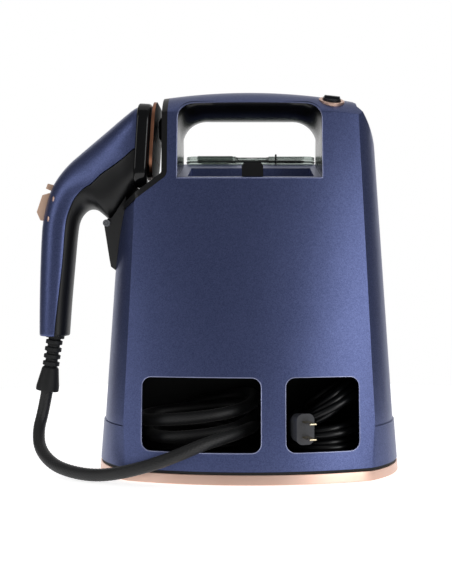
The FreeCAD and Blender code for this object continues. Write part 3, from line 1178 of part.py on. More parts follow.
# ---------------------------------------------------------------- check and export
doc.recompute()
for thing in doc.Objects:
    if "Invalid" in thing.State or "Error" in thing.State:
        raise RuntimeError(f"{thing.Label} did not build: {thing.State}")
os.makedirs("parts", exist_ok=True)
for thing in sub_parts:
    shape = thing.Shape
    if shape.isNull() or not shape.isValid() or not shape.Solids:
        raise RuntimeError(f"{thing.Label} has no valid solid")
    shape.exportStep(f"parts/{thing.Label}.step")
    print(f"{thing.Label}: {len(shape.Solids)} solid(s), {shape.Volume / 1000:.2f} cm3")
print(len(sub_parts), "sub-parts; dial on the roof at", [round(place, 2) for place in dial_spot])
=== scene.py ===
# %% [markdown]
# # A garment steamer, dressed for the camera
#
# The steamer is a box-shaped base with a carry handle cut through its top, a smoky water tank
# behind it, two bins at the rear for hose and mains cord, and a steam handset that hangs in a dock
# on its left side. The solid model of every part comes in as a fixed frame. This script gives
# each part its finish, builds the soft parts and the small details as meshes, and lights the set.
# Everything is in metres: +Z is up, and the camera looks along +Y at the rear of the machine.

import math

import bmesh
import bpy
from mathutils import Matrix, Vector


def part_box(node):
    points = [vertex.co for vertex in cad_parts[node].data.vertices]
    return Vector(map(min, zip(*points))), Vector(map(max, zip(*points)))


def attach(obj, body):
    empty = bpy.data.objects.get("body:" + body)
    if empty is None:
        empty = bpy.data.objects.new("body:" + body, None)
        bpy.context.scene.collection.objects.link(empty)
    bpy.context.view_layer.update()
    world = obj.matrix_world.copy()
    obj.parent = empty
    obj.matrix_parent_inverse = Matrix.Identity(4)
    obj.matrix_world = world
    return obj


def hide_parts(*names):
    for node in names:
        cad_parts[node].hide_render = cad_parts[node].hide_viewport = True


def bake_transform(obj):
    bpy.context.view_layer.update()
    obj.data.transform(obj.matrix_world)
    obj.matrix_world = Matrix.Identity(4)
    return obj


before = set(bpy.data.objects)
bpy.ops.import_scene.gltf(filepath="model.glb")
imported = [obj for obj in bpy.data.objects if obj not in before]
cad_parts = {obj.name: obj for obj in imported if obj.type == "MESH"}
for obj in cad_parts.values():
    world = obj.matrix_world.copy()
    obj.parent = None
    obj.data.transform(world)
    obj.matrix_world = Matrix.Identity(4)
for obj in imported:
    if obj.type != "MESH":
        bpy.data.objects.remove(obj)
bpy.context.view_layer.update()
MM = 0.001

# %% [markdown]
# ## Colours and nodes
#
# A colour is picked as an sRGB hex code, the number that a paint shop would write down, and shaders
# want linear light. One function does the change. A second one adds a shader node: it takes the
# node's settings and what goes into each input, which is either a number or another node's output.

# %% Helpers for materials
def linear(code, alpha=1.0):
    """Linear red, green, blue and alpha from an sRGB hex code."""
    parts = [int(code[at:at + 2], 16) / 255 for at in (0, 2, 4)]
    return [part / 12.92 if part <= 0.04045 else ((part + 0.055) / 1.055) ** 2.4 for part in parts] + [alpha]


def add(tree, kind, settings=None, inputs=None):
    """A new node with its settings, and with numbers or links in its inputs."""
    made = tree.nodes.new(kind)
    for name, value in (settings or {}).items():
        setattr(made, name, value)
    for name, value in (inputs or {}).items():
        if isinstance(value, bpy.types.NodeSocket):
            tree.links.new(value, made.inputs[name])
        else:
            made.inputs[name].default_value = value
    return made


def new_material(name):
    """A material with an empty node tree."""
    material = bpy.data.materials.new(name)
    material.use_nodes = True
    material.node_tree.nodes.clear()
    return material, material.node_tree


def per_mm(size):
    """The texture scale that makes one cell this many millimetres across."""
    return 1 / (size * MM)


def close(material, tree, shader):
    """Links the finished shader to the material's output."""
    add(tree, "ShaderNodeOutputMaterial", inputs={"Surface": shader.outputs["BSDF"]})
    return material


# %% [markdown]
# ## Metallic-flake lacquer
#
# The blue shells are moulded ABS under a lacquer with aluminium flakes in it, and a satin clear
# coat on top. Each flake lies at its own small angle, so the surface looks finely grained, and it is
# lighter where it faces a lamp. Cells of a Voronoi texture are the flakes: each one gets
# its own brightness and its own slight tilt. A real flake is under 0.1 mm, so these are drawn at
# 0.7 mm, about the finest that a picture of the whole machine can show.

# %% Lacquer
FLAKE_MM = 0.7


def flake_lacquer(name, dark, light):
    material, tree = new_material(name)
    place = add(tree, "ShaderNodeTexCoord").outputs["Object"]
    flakes = add(tree, "ShaderNodeTexVoronoi", {"feature": "F1"}, {
        "Vector": place, "Scale": per_mm(FLAKE_MM),
    })
    clouds = add(tree, "ShaderNodeTexNoise", inputs={"Vector": place, "Scale": per_mm(40), "Detail": 2.0})
    tone = add(tree, "ShaderNodeMix", {"data_type": "FLOAT"}, {
        "Factor": 0.18, "A": flakes.outputs["Color"], "B": clouds.outputs["Fac"],
    })
    colour = add(tree, "ShaderNodeMix", {"data_type": "RGBA"}, {"Factor": tone.outputs["Result"]})
    colour.inputs[6].default_value = linear(dark)
    colour.inputs[7].default_value = linear(light)
    tilt = add(tree, "ShaderNodeBump", inputs={
        "Strength": 0.10, "Distance": 0.05 * MM, "Height": flakes.outputs["Color"],
    })
    shader = add(tree, "ShaderNodeBsdfPrincipled", inputs={
        "Base Color": colour.outputs[2], "Metallic": 0.8, "Roughness": 0.4,
        "Coat Weight": 0.1, "Coat Roughness": 0.3, "Normal": tilt.outputs["Normal"],
    })
    return close(material, tree, shader)


blue_lacquer = flake_lacquer("blue_flake_lacquer", "3E4872", "5E6894")

# %% [markdown]
# ## Moulded plastics and rubber
#
# The black parts are moulded in tools with a fine spark-eroded texture: a low, even grain that
# spreads the highlight. One recipe serves them all, with its colour, its grain size and its
# roughness. Rubber is duller and grainier, and a cord's soft PVC jacket is smoother and glossier.

# %% Moulded black
def moulded(name, colour, grain, rough, depth=0.02, grain_mm=0.5, shine=0.4):
    material, tree = new_material(name)
    place = add(tree, "ShaderNodeTexCoord").outputs["Object"]
    speck = add(tree, "ShaderNodeTexNoise", inputs={
        "Vector": place, "Scale": per_mm(grain_mm), "Detail": 3.0, "Roughness": 0.6,
    })
    smear = add(tree, "ShaderNodeTexNoise", inputs={"Vector": place, "Scale": per_mm(25), "Detail": 3.0})
    shade = add(tree, "ShaderNodeMix", {"data_type": "RGBA"}, {"Factor": speck.outputs["Fac"]})
    shade.inputs[6].default_value = linear(colour)
    shade.inputs[7].default_value = linear(grain)
    dull = add(tree, "ShaderNodeMapRange", inputs={
        "Value": smear.outputs["Fac"], "To Min": rough - 0.05, "To Max": rough + 0.05,
    })
    relief = add(tree, "ShaderNodeBump", inputs={
        "Strength": 0.3, "Distance": depth * MM, "Height": speck.outputs["Fac"],
    })
    shader = add(tree, "ShaderNodeBsdfPrincipled", inputs={
        "Base Color": shade.outputs[2], "Roughness": dull.outputs["Result"],
        "Normal": relief.outputs["Normal"], "Specular IOR Level": shine,
    })
    return close(material, tree, shader)


black_abs = moulded("black_textured_abs", "060608", "0C0D0F", 0.42)
gloss_abs = moulded("black_gloss_abs", "050608", "08090B", 0.14, depth=0.004)
bin_abs = moulded("bin_black_abs", "050506", "0A0A0B", 0.6)
soft_rubber = moulded("moulded_rubber", "0B0C0D", "151618", 0.62, depth=0.05, grain_mm=0.8)
pvc_jacket = moulded("cord_pvc", "090A0B", "101113", 0.34, depth=0.01, grain_mm=1.2)
plug_pvc = moulded("plug_pvc", "2B2C30", "414247", 0.5, depth=0.06, grain_mm=1.0)
dark_ceramic = moulded("dark_ceramic_coat", "08080A", "101012", 0.5, shine=0.25)
# the cradle lip's light grey is a painted sheen for the highlights on its rolled end
grey_lip_painted_sheen = moulded("grey_abs_painted_sheen", "686A6E", "7C7E82", 0.28, depth=0.01)
white_nylon = moulded("white_nylon", "D8D6CE", "E6E4DC", 0.5)
board_green = moulded("board_solder_mask", "0E4A22", "14602E", 0.4, grain_mm=2.0)

# %% [markdown]
# ## Satin metals
#
# The rose-gold rim, trigger and bezel are plastic with a vacuum-deposited metal skin under a satin
# tinted coat, so they shine like a metal with a soft edge to the highlight. The trigger's and the
# lock's coat holds more pigment and less metal. The steam plate is die-cast aluminium with a
# copper-coloured ceramic coat on its rim and a dark one on its face. A very fine noise moves the
# roughness a little, as handling and the coat's own texture do.

# %% Metals
def satin_metal(name, colour, shade_colour, metallic, rough, grain_mm=0.7):
    material, tree = new_material(name)
    place = add(tree, "ShaderNodeTexCoord").outputs["Object"]
    speck = add(tree, "ShaderNodeTexNoise", inputs={
        "Vector": place, "Scale": per_mm(grain_mm), "Detail": 2.0,
    })
    patch = add(tree, "ShaderNodeTexNoise", inputs={"Vector": place, "Scale": per_mm(30), "Detail": 2.0})
    tone = add(tree, "ShaderNodeMix", {"data_type": "RGBA"}, {"Factor": patch.outputs["Fac"]})
    tone.inputs[6].default_value = linear(shade_colour)
    tone.inputs[7].default_value = linear(colour)
    dull = add(tree, "ShaderNodeMapRange", inputs={
        "Value": speck.outputs["Fac"], "To Min": rough - 0.06, "To Max": rough + 0.06,
    })
    shader = add(tree, "ShaderNodeBsdfPrincipled", inputs={
        "Base Color": tone.outputs[2], "Metallic": metallic, "Roughness": dull.outputs["Result"],
    })
    return close(material, tree, shader)


rose_gold = satin_metal("rose_gold_satin", "EFCDBD", "E2B9A6", 0.85, 0.34)
trigger_gold = satin_metal("rose_gold_trigger_coat", "EBC9B2", "DDB79E", 0.35, 0.42)
copper_coat = satin_metal("copper_ceramic_coat", "A8755C", "94654E", 0.9, 0.38)
dark_knob = satin_metal("dark_anodised_knob", "3A3C42", "2B2D32", 0.8, 0.3)
plated_steel = satin_metal("nickel_plated_brass", "D8CDB4", "C4B694", 1.0, 0.24)
cast_aluminium = satin_metal("die_cast_aluminium", "A9ABAE", "8E9093", 1.0, 0.5, grain_mm=1.5)

# %% [markdown]
# ## Smoky clear plastic
#
# The tank and its lid are injection-moulded styrene-acrylonitrile, tinted grey-green. It is thin, so
# most light goes straight through, the edges look darker and the surface is glossy. Transmission
# with a slight tint does that, with the index of refraction that the plastic has, 1.57.

# %% Smoky plastic
def smoky_plastic(name, tint, rough):
    material, tree = new_material(name)
    place = add(tree, "ShaderNodeTexCoord").outputs["Object"]
    ripple = add(tree, "ShaderNodeTexNoise", inputs={"Vector": place, "Scale": per_mm(18), "Detail": 1.0})
    wave = add(tree, "ShaderNodeBump", inputs={
        "Strength": 0.15, "Distance": 0.1 * MM, "Height": ripple.outputs["Fac"],
    })
    shader = add(tree, "ShaderNodeBsdfPrincipled", inputs={
        "Base Color": linear(tint), "Roughness": rough, "IOR": 1.57,
        "Transmission Weight": 0.92, "Normal": wave.outputs["Normal"],
    })
    return close(material, tree, shader)


smoky_tank = smoky_plastic("smoky_styrene", "9AA6A2", 0.06)
smoky_lid = smoky_plastic("smoky_styrene_lid", "B9C4BE", 0.08)

# %% [markdown]
# ## Braided sleeve
#
# The steam hose wears a sleeve of black polyester yarns, braided over and under each other on a
# slant. The yarns are real geometry further down, so the material adds only what the eye sees on
# them: a soft fuzz of fine fibres that catches a little light, in two tones of near black.

# %% Braid
def braided(name, yarn, gap):
    material, tree = new_material(name)
    place = add(tree, "ShaderNodeTexCoord")
    fuzz = add(tree, "ShaderNodeTexNoise", inputs={
        "Vector": place.outputs["Object"], "Scale": per_mm(0.6), "Detail": 4.0, "Roughness": 0.7,
    })
    tone = add(tree, "ShaderNodeMix", {"data_type": "RGBA"}, {"Factor": fuzz.outputs["Fac"]})
    tone.inputs[6].default_value = linear(gap)
    tone.inputs[7].default_value = linear(yarn)
    lint = add(tree, "ShaderNodeBump", inputs={
        "Strength": 0.5, "Distance": 0.12 * MM, "Height": fuzz.outputs["Fac"],
    })
    shader = add(tree, "ShaderNodeBsdfPrincipled", inputs={
        "Base Color": tone.outputs[2], "Roughness": 0.5, "Sheen Weight": 0.08, "Sheen Roughness": 0.5,
        "Normal": lint.outputs["Normal"],
    })
    return close(material, tree, shader)


braid = braided("braided_polyester", "101113", "030304")

# %% [markdown]
# ## The frame's parts get their finishes
#
# Each part of the solid model already has the right shape, so it keeps it. What it lacks is the
# small rounding that every moulded edge has, and a smooth shade over curved faces. Four modifiers
# add them without touching the mesh: Weld joins the triangles' corners, Decimate dissolves edges
# inside flat faces, Bevel rounds what is sharper than a set angle, and Weighted Normal keeps the
# large faces evenly shaded.

# %% Dress the parts
def dress(node, material, edge_mm=0.5, angle=35, segments=2):
    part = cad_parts[node]
    part.data.materials.clear()
    part.data.materials.append(material)
    for face in part.data.polygons:
        face.use_smooth = True
    weld = part.modifiers.new("weld", "WELD")
    weld.merge_threshold = 0.002 * MM
    flat = part.modifiers.new("flat_faces", "DECIMATE")
    flat.decimate_type = "DISSOLVE"
    flat.angle_limit = math.radians(0.3)
    bevel = part.modifiers.new("edge", "BEVEL")
    bevel.width = edge_mm * MM
    bevel.segments = segments
    bevel.limit_method = "ANGLE"
    bevel.angle_limit = math.radians(angle)
    bevel.harden_normals = True
    bevel.miter_outer = "MITER_ARC"
    bevel.use_clamp_overlap = True
    even = part.modifiers.new("even_shade", "WEIGHTED_NORMAL")
    even.mode = "FACE_AREA_WITH_ANGLE"
    even.keep_sharp = True
    return part


FINISHES = {
    blue_lacquer: [
        "rear_housing", "front_housing", "right_side_panel", "left_side_panel", "top_cover",
        "handle_tray",
    ],
    rose_gold: ["base_band", "dial_bezel"],
    trigger_gold: ["steam_trigger", "trigger_lock"],
    black_abs: [
        "bottom_plate", "deck_plate", "tank_bay", "latch_boss", "tank_latch", "dock_trim",
        "cradle_hook", "steam_chamber", "microswitch", "board_bracket",
        "dial_encoder", "vent_pin", "boiler_cover",
    ],
    bin_abs: ["hose_bin", "cord_bin"],
    soft_rubber: [
        "base_gasket", "rubber_foot_ring", "dock_bumper", "boiler_grommets", "strain_relief",
        "pump_saddle", "cord_gland", "hose_gland",
    ],
    smoky_tank: ["water_tank"],
    smoky_lid: ["tank_lid", "filler_cap"],
    copper_coat: ["steam_plate"],
    dark_knob: ["power_dial"],
    plated_steel: ["base_screws", "heating_element", "plug_blades"],
    cast_aluminium: ["boiler_body"],
    white_nylon: [
        "tank_socket", "tank_valve", "thermal_cutouts", "inner_pipes", "handset_steam_tube", "water_pump",
    ],
    board_green: ["control_board"],
    plug_pvc: ["plug_body"],
}
WIDE_EDGES = {"rear_housing": 0.9, "tank_lid": 2.2, "cradle_hook": 1.6, "dock_bumper": 3.0, "plug_body": 2.0}
for material, nodes in FINISHES.items():
    for name in nodes:
        dress(name, material, WIDE_EDGES.get(name, 0.5), segments=4 if name in WIDE_EDGES else 2)

# %% [markdown]
# ## The handset's two shells
#
# On the real handset a lacquered back shell and a black inner shell clip together along a seam, and
# both are doubly curved: the head is a rounded rectangle, and it narrows through the elbow to
# an oval grip. Subdivision modelling could do it, but a row of cross-sections is easier to
# control here. Each station below gives a section: its point on the back's outline, its point on the
# inner outline, its half width, how square it is, and where the seam cuts it. A Catmull-Rom curve
# runs smoothly through each of these numbers, and a superellipse turns them into a section.

# %% Stations
handset_low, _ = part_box("handset_back_shell")
HANDSET_STATIONS = [
    # back x and z, inner x and z in mm from the shell's lowest corner; half width; squareness; seam share
    (93.0, 207.2, 94.0, 134.4, 41.4, 4.0, 0.54),
    (88.0, 204.6, 90.0, 131.6, 41.2, 3.8, 0.54),
    (76.0, 195.6, 86.0, 125.6, 39.6, 3.4, 0.53),
    (63.0, 185.6, 81.5, 117.6, 36.6, 3.0, 0.49),
    (50.0, 175.6, 75.5, 107.0, 33.0, 2.7, 0.44),
    (37.5, 165.6, 69.0, 102.6, 29.0, 2.5, 0.45),
    (28.0, 157.6, 61.4, 109.0, 25.6, 2.3, 0.50),
    (19.6, 148.2, 53.6, 114.9, 22.8, 2.2, 0.58),
    (12.6, 137.4, 46.4, 115.6, 20.8, 2.2, 0.65),
    (8.0, 125.6, 40.6, 111.4, 19.6, 2.2, 0.70),
    (4.4, 111.0, 36.6, 104.0, 19.2, 2.2, 0.72),
    (2.3, 95.0, 34.6, 92.0, 19.0, 2.2, 0.73),
    (1.0, 66.0, 32.2, 66.0, 19.0, 2.2, 0.73),
    (0.3, 34.0, 29.4, 34.0, 18.9, 2.2, 0.68),
    (0.2, 6.0, 27.3, 6.0, 18.6, 2.3, 0.62),
    (0.5, 0.9, 26.8, 0.9, 18.2, 2.3, 0.61),
    (2.2, 0.0, 25.2, 0.0, 16.6, 2.3, 0.61),
    (8.2, 0.0, 19.2, 0.0, 7.0, 2.3, 0.61),
]
SHELL_WALL_MM = 2.2
SEAM_SINK_MM = 0.15


def through(stations, share):
    """The numbers at a share, 0 to 1, of the way along the stations, on a Catmull-Rom curve."""
    last = len(stations) - 1
    at = min(int(share * last), last - 1)
    t = share * last - at
    rows = [stations[min(max(number, 0), last)] for number in range(at - 1, at + 3)]
    return [
        0.5 * (2 * b + (c - a) * t + (2 * a - 5 * b + 4 * c - d) * t * t + (3 * b - a - 3 * c + d) * t ** 3)
        for a, b, c, d in zip(*rows)
    ]


def handset_place(share, turn, inset):
    """A point of the handset: turn -1 to 1 spans the back shell, 1 to 3 the inner one; inset is inward."""
    back_x, back_z, inner_x, inner_z, half, square, seam = through(HANDSET_STATIONS, share)
    back, inner = Vector((back_x, 0, back_z)), Vector((inner_x, 0, inner_z))
    depth = (inner - back).length / 2
    level = 2 * seam - 1
    seam_angle = math.atan2((1 - abs(level) ** square) ** (1 / square), -level)
    if abs(turn) <= 1:
        angle = turn * seam_angle
    else:
        angle = seam_angle + (turn - 1) * (math.pi - seam_angle)
    fit = (abs(math.cos(angle)) ** square + abs(math.sin(angle)) ** square) ** (-1 / square)
    along = -math.cos(angle) * fit * (depth - inset)
    across = math.sin(angle) * fit * (half - inset)
    middle = (back + inner) / 2 + (inner - back).normalized() * along
    return Vector(handset_low) + Vector((middle.x, across, middle.z)) * MM - Vector((0, handset_low[1], 0))


def closed_shell(name, rows, lining, material):
    """A solid sheet from a grid of points and the same grid moved inward."""
    made = bmesh.new()
    grids = [[[made.verts.new(place) for place in row] for row in grid] for grid in (rows, lining)]
    for grid, turned in zip(grids, (False, True)):
        for low, high in zip(grid, grid[1:]):
            for a, b, c, d in zip(low, low[1:], high[1:], high):
                made.faces.new((d, c, b, a) if turned else (a, b, c, d))
    outer, inner = grids
    edges = [
        (outer[0], inner[0]), (inner[-1], outer[-1]),
        ([row[0] for row in inner], [row[0] for row in outer]),
        ([row[-1] for row in outer], [row[-1] for row in inner]),
    ]
    for first, second in edges:
        for a, b, c, d in zip(first, first[1:], second[1:], second):
            made.faces.new((d, c, b, a))
    bmesh.ops.recalc_face_normals(made, faces=made.faces)
    data = bpy.data.meshes.new(name)
    made.to_mesh(data)
    made.free()
    data.materials.append(material)
    data.shade_smooth()
    data.set_sharp_from_angle(angle=math.radians(40))
    thing = bpy.data.objects.new(name, data)
    bpy.context.scene.collection.objects.link(thing)
    return thing


HANDSET_ROWS, HANDSET_COLUMNS = 150, 56


def handset_shell(name, first_turn, last_turn, material, node):
    """One shell between two turns round the handset, with its edges sunk a little along the seam."""
    turns = [
        first_turn + (last_turn - first_turn) * step / HANDSET_COLUMNS
        for step in range(HANDSET_COLUMNS + 1)
    ]
    sinks = [SEAM_SINK_MM if step in (0, HANDSET_COLUMNS) else 0 for step in range(HANDSET_COLUMNS + 1)]
    shares = [step / HANDSET_ROWS for step in range(HANDSET_ROWS + 1)]
    shell = closed_shell(
        name,
        [[handset_place(share, turn, sink) for turn, sink in zip(turns, sinks)] for share in shares],
        [[handset_place(share, turn, SHELL_WALL_MM) for turn in turns] for share in shares],
        material,
    )
    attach(shell, "handset")
    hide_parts(node)
    return shell


handset_shell("handset_back", -0.99, 0.99, blue_lacquer, "handset_back_shell")
handset_shell("handset_inner", 1.01, 2.99, black_abs, "handset_inner_shell")

# %% [markdown]
# ## The collar, the pins and the cradle's lip
#
# Between the shells and the steam plate sits a deep glossy collar, a rounded rectangle that follows
# the plate's tilt. Two oval pins in copper colour hold the shells together beside the trigger. The
# cradle that the handset's neck rests on has a rolled lip. All three are lofts: a row of closed
# rings, each joined to the next, with a flat face at either end.

# %% Lofts
def lofted(name, rings, material, body, node=None):
    """A closed solid through rings of points, riding on a body."""
    made = bmesh.new()
    rows = [[made.verts.new(place) for place in ring] for ring in rings]
    for low, high in zip(rows, rows[1:]):
        for a, b, c, d in zip(low, low[1:] + low[:1], high[1:] + high[:1], high):
            made.faces.new((a, b, c, d))
    made.faces.new(list(reversed(rows[0])))
    made.faces.new(rows[-1])
    bmesh.ops.recalc_face_normals(made, faces=made.faces)
    data = bpy.data.meshes.new(name)
    made.to_mesh(data)
    made.free()
    data.materials.append(material)
    data.shade_smooth()
    data.set_sharp_from_angle(angle=math.radians(40))
    thing = bpy.data.objects.new(name, data)
    bpy.context.scene.collection.objects.link(thing)
    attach(thing, body)
    if node:
        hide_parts(node)
    return thing


def oval(centre, right, up, square=2.0, sides=48):
    """A ring round a centre with two half axes, from an ellipse (2) towards a rectangle (more)."""
    ring = []
    for step in range(sides):
        angle = 2 * math.pi * step / sides
        fit = (abs(math.cos(angle)) ** square + abs(math.sin(angle)) ** square) ** (-1 / square)
        ring.append(centre + right * math.cos(angle) * fit + up * math.sin(angle) * fit)
    return ring


plate_low, plate_high = (Vector(corner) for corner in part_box("steam_plate"))
PLATE_LEAN = math.radians(3.5)
plate_out = Vector((math.cos(PLATE_LEAN), 0, -math.sin(PLATE_LEAN)))
plate_up = Vector((math.sin(PLATE_LEAN), 0, math.cos(PLATE_LEAN)))
COLLAR_LEVEL = 291.5 * MM
collar_middle = Vector(((plate_low.x + plate_high.x) / 2, 0, COLLAR_LEVEL))
COLLAR_HALF, COLLAR_HEIGHT, COLLAR_SQUARE = 42.6 * MM, 38.2 * MM, 5.0
collar_rings = [
    oval(
        collar_middle + plate_out * place * MM, Vector((0, COLLAR_HALF * share, 0)),
        plate_up * COLLAR_HEIGHT * share, COLLAR_SQUARE, 72,
    )
    for place, share in ((-14.6, 0.80), (-14.6, 0.972), (-13.9, 0.993), (-12.8, 1.0), (-5.2, 1.0),
                         (-3.9, 0.985), (-3.2, 0.95), (-3.2, 0.80))
]
lofted("head_collar", collar_rings, gloss_abs, "handset", "head_ring")

# the plate's flat face wears a dark coat, and its rim stays copper
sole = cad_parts["steam_plate"].data
sole.materials.append(dark_ceramic)
for face in sole.polygons:
    if face.normal.dot(plate_out) > 0.9:
        face.material_index = 1

back_shell = bpy.data.objects["handset_back"]
PINS = ((-177.1, 244.9), (-181.8, 226.8))
PIN_HALF_WIDTH, PIN_HALF_HEIGHT = 1.3 * MM, 2.5 * MM
for number, (x, z) in enumerate(PINS):
    _, place, out, _ = back_shell.ray_cast((x * MM, -1, z * MM), (0, 1, 0))
    side = Vector((0, 0, 1)).cross(out).normalized() * -1
    up = out.cross(side)
    lofted(
        f"shell_pin_{number + 1}",
        [oval(place + out * rise * MM, side * PIN_HALF_WIDTH * share, up * PIN_HALF_HEIGHT * share, 2.0, 24)
         for rise, share in ((-1.5, 1.0), (0.25, 1.0), (0.42, 0.8), (0.5, 0.4))],
        rose_gold, "handset", "shell_pins",
    )

hook_low, hook_high = (Vector(corner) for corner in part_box("cradle_hook"))
LIP_RADIUS, LIP_BORE = 3.1 * MM, 1.9 * MM
LIP_X, LIP_LEVEL, LIP_DEPTH = -127.2 * MM, 222.4 * MM, 1.2 * MM
lip_middle = Vector((LIP_X, 0, LIP_LEVEL))
lip_half = (hook_high.y - hook_low.y) / 2 + 0.4 * MM
# the lip is drawn light grey, a painted sheen for the highlights on the rolled end
lofted(
    "cradle_lip",
    [oval(lip_middle + Vector((0, place, 0)), Vector((radius, 0, 0)), Vector((0, 0, radius)), 2.0, 32)
     for place, radius in (
         (-lip_half + LIP_DEPTH, LIP_BORE * 0.6), (-lip_half + LIP_DEPTH, LIP_BORE),
         (-lip_half, LIP_BORE + 0.2 * MM), (-lip_half, LIP_RADIUS - 0.3 * MM),
         (-lip_half + 0.3 * MM, LIP_RADIUS), (lip_half - 0.3 * MM, LIP_RADIUS),
         (lip_half, LIP_RADIUS - 0.3 * MM), (lip_half, LIP_BORE + 0.2 * MM),
         (lip_half - LIP_DEPTH, LIP_BORE), (lip_half - LIP_DEPTH, LIP_BORE * 0.6),
     )],
    grey_lip_painted_sheen, "base", None,
)

# %% [markdown]
# ## The lining of the hand hole
#
# A hand goes through the carry handle, so its lining has no edge anywhere: it starts flush with the
# rim, swells down to a full round grip in the middle, and runs into the side walls through large
# corners. It is moulded in one piece in smooth black plastic. The mesh is a strip of outlines, one
# for each place from rear to front, that pass from the rim's arch to a lower, rounder one at the
# waist and back. Rays cast at the frame's own shells say where the rims are, so
# the strip ends just inside them whatever the hull's curve is.

# %% Lining of the hand hole
def surface_y(x, z, from_rear, nodes):
    """How far back or forward the outermost of some nodes reaches at a place, in metres."""
    way = 1 if from_rear else -1
    hits = []
    for node in nodes:
        found, place, _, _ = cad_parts[node].ray_cast((x, -way, z), (0, way, 0))
        if found:
            hits.append(place.y)
    return (min(hits) if from_rear else max(hits)) if hits else None


def arch_path(left, right, low, high, corner, steps=10):
    """An upside-down U with round corners, from its lower left end to its lower right end."""
    walls = 8
    path = [(left, low + (high - corner - low) * step / walls) for step in range(walls)]
    for middle, start in ((left + corner, 180), (right - corner, 90)):
        for step in range(steps + 1):
            angle = math.radians(start - 90 * step / steps)
            path.append((middle + corner * math.cos(angle), high - corner + corner * math.sin(angle)))
        if start == 180:
            span = right - left - 2 * corner
            path += [(left + corner + span * step / 12, high) for step in range(1, 12)]
    path += [(right, high - corner + (low - high + corner) * (step + 1) / walls) for step in range(walls)]
    return path


insert_low, insert_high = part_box("grip_insert")
tray_low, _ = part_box("handle_tray")
HOLE_LEFT, HOLE_RIGHT, HOLE_TOP = insert_low[0], insert_high[0], insert_high[2]
HOLE_CORNER, GRIP_SWELL, WALL_SWELL, LINING_WALL = 15 * MM, 11.5 * MM, 1.2 * MM, 1.6 * MM
WAIST_CORNER = 23 * MM
RIM_SINK, RIM_PROBE = 0.5 * MM, 1.5 * MM
LINING_ROWS = 36
HOLE_LOW = tray_low[2] + 0.012
hole_path = arch_path(HOLE_LEFT, HOLE_RIGHT, HOLE_LOW, HOLE_TOP, HOLE_CORNER)
waist_path = arch_path(
    HOLE_LEFT + WALL_SWELL, HOLE_RIGHT - WALL_SWELL, HOLE_LOW, HOLE_TOP - GRIP_SWELL, WAIST_CORNER,
)
hole_middle = Vector(((HOLE_LEFT + HOLE_RIGHT) / 2, HOLE_TOP - 0.03))


def rim_places(path, from_rear, nodes):
    """The rim's depth beside each point of a path, filled in from its neighbours where no shell is met."""
    found = []
    for x, z in path:
        out = (Vector((x, z)) - hole_middle).normalized() * RIM_PROBE
        found.append(surface_y(x + out.x, z + out.y, from_rear, nodes))
    known = [number for number, depth in enumerate(found) if depth is not None]
    return [found[min(known, key=lambda near: abs(near - number))] for number in range(len(path))]


rear_rim = rim_places(hole_path, True, ["rear_housing", "top_cover"])
front_rim = rim_places(hole_path, False, ["front_housing", "top_cover"])
swelling, lining_back = [], []
for row in range(LINING_ROWS + 1):
    share = row / LINING_ROWS
    bulge = math.sin(math.pi * share) ** 0.7
    face, back = [], []
    for (x, z), (waist_x, waist_z), rear, front in zip(hole_path, waist_path, rear_rim, front_rim):
        depth = rear + RIM_SINK + (front - rear - 2 * RIM_SINK) * share
        topness = min(max((z - (HOLE_TOP - 1.6 * HOLE_CORNER)) / (1.6 * HOLE_CORNER), 0), 1)
        lean = (x - hole_middle.x) / (HOLE_RIGHT - hole_middle.x)
        face.append(Vector((x + (waist_x - x) * bulge, depth, z + (waist_z - z) * bulge)))
        back.append(Vector((x + lean * LINING_WALL, depth, z + LINING_WALL * topness)))
    swelling.append(face)
    lining_back.append(back)
lining_abs = moulded("handle_satin_abs", "060608", "0A0B0D", 0.24, depth=0.006)
handle_lining = closed_shell("handle_lining", swelling, lining_back, lining_abs)
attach(handle_lining, "base")
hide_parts("grip_insert", "handle_liner")

# %% [markdown]
# ## Painted highlights on the edges
#
# Where the lacquered shell turns into an opening, its edge is rounded and the lacquer runs thin and
# glossy over it, so the edge shows as a fine bright line. A wider bevel could give that, but the
# shells' bevel is limited by their smallest corner. A bead of half a millimetre follows the opening
# on the shell's surface, and its light silver-blue colour is a painted highlight for that line. The
# clear lid's ribs and its seal are drawn with the same function, which bends a thin round wire along any path.

# %% Beads
def wire(name, places, radius_mm, material, body, loop=True):
    """A thin round wire through some places, riding on a body."""
    data = bpy.data.curves.new(name, "CURVE")
    data.dimensions = "3D"
    line = data.splines.new("POLY")
    line.points.add(len(places) - 1)
    for point, place in zip(line.points, places):
        point.co = (*place, 1)
    line.use_cyclic_u = loop
    data.bevel_depth = radius_mm * MM
    data.bevel_resolution = 3
    data.use_fill_caps = not loop
    data.materials.append(material)
    made = bpy.data.objects.new(name, data)
    bpy.context.scene.collection.objects.link(made)
    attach(made, body)
    return made


def rounded_loop(left, right, low, high, corner, steps=6):
    """A rectangle with round corners as a closed list of places in its plane."""
    loop = []
    for middle_x, middle_z, start in (
        (left + corner, low + corner, 180), (right - corner, low + corner, 270),
        (right - corner, high - corner, 0), (left + corner, high - corner, 90),
    ):
        for step in range(steps + 1):
            angle = math.radians(start + 90 * step / steps)
            loop.append((middle_x + corner * math.cos(angle), middle_z + corner * math.sin(angle)))
    return loop


def fill_in(loop, step=4 * MM):
    """The same closed path with a point at least every few millimetres."""
    filled = []
    for (x, z), (next_x, next_z) in zip(loop, loop[1:] + loop[:1]):
        count = max(1, round(math.hypot(next_x - x, next_z - z) / step))
        filled += [(x + (next_x - x) * at / count, z + (next_z - z) * at / count) for at in range(count)]
    return filled


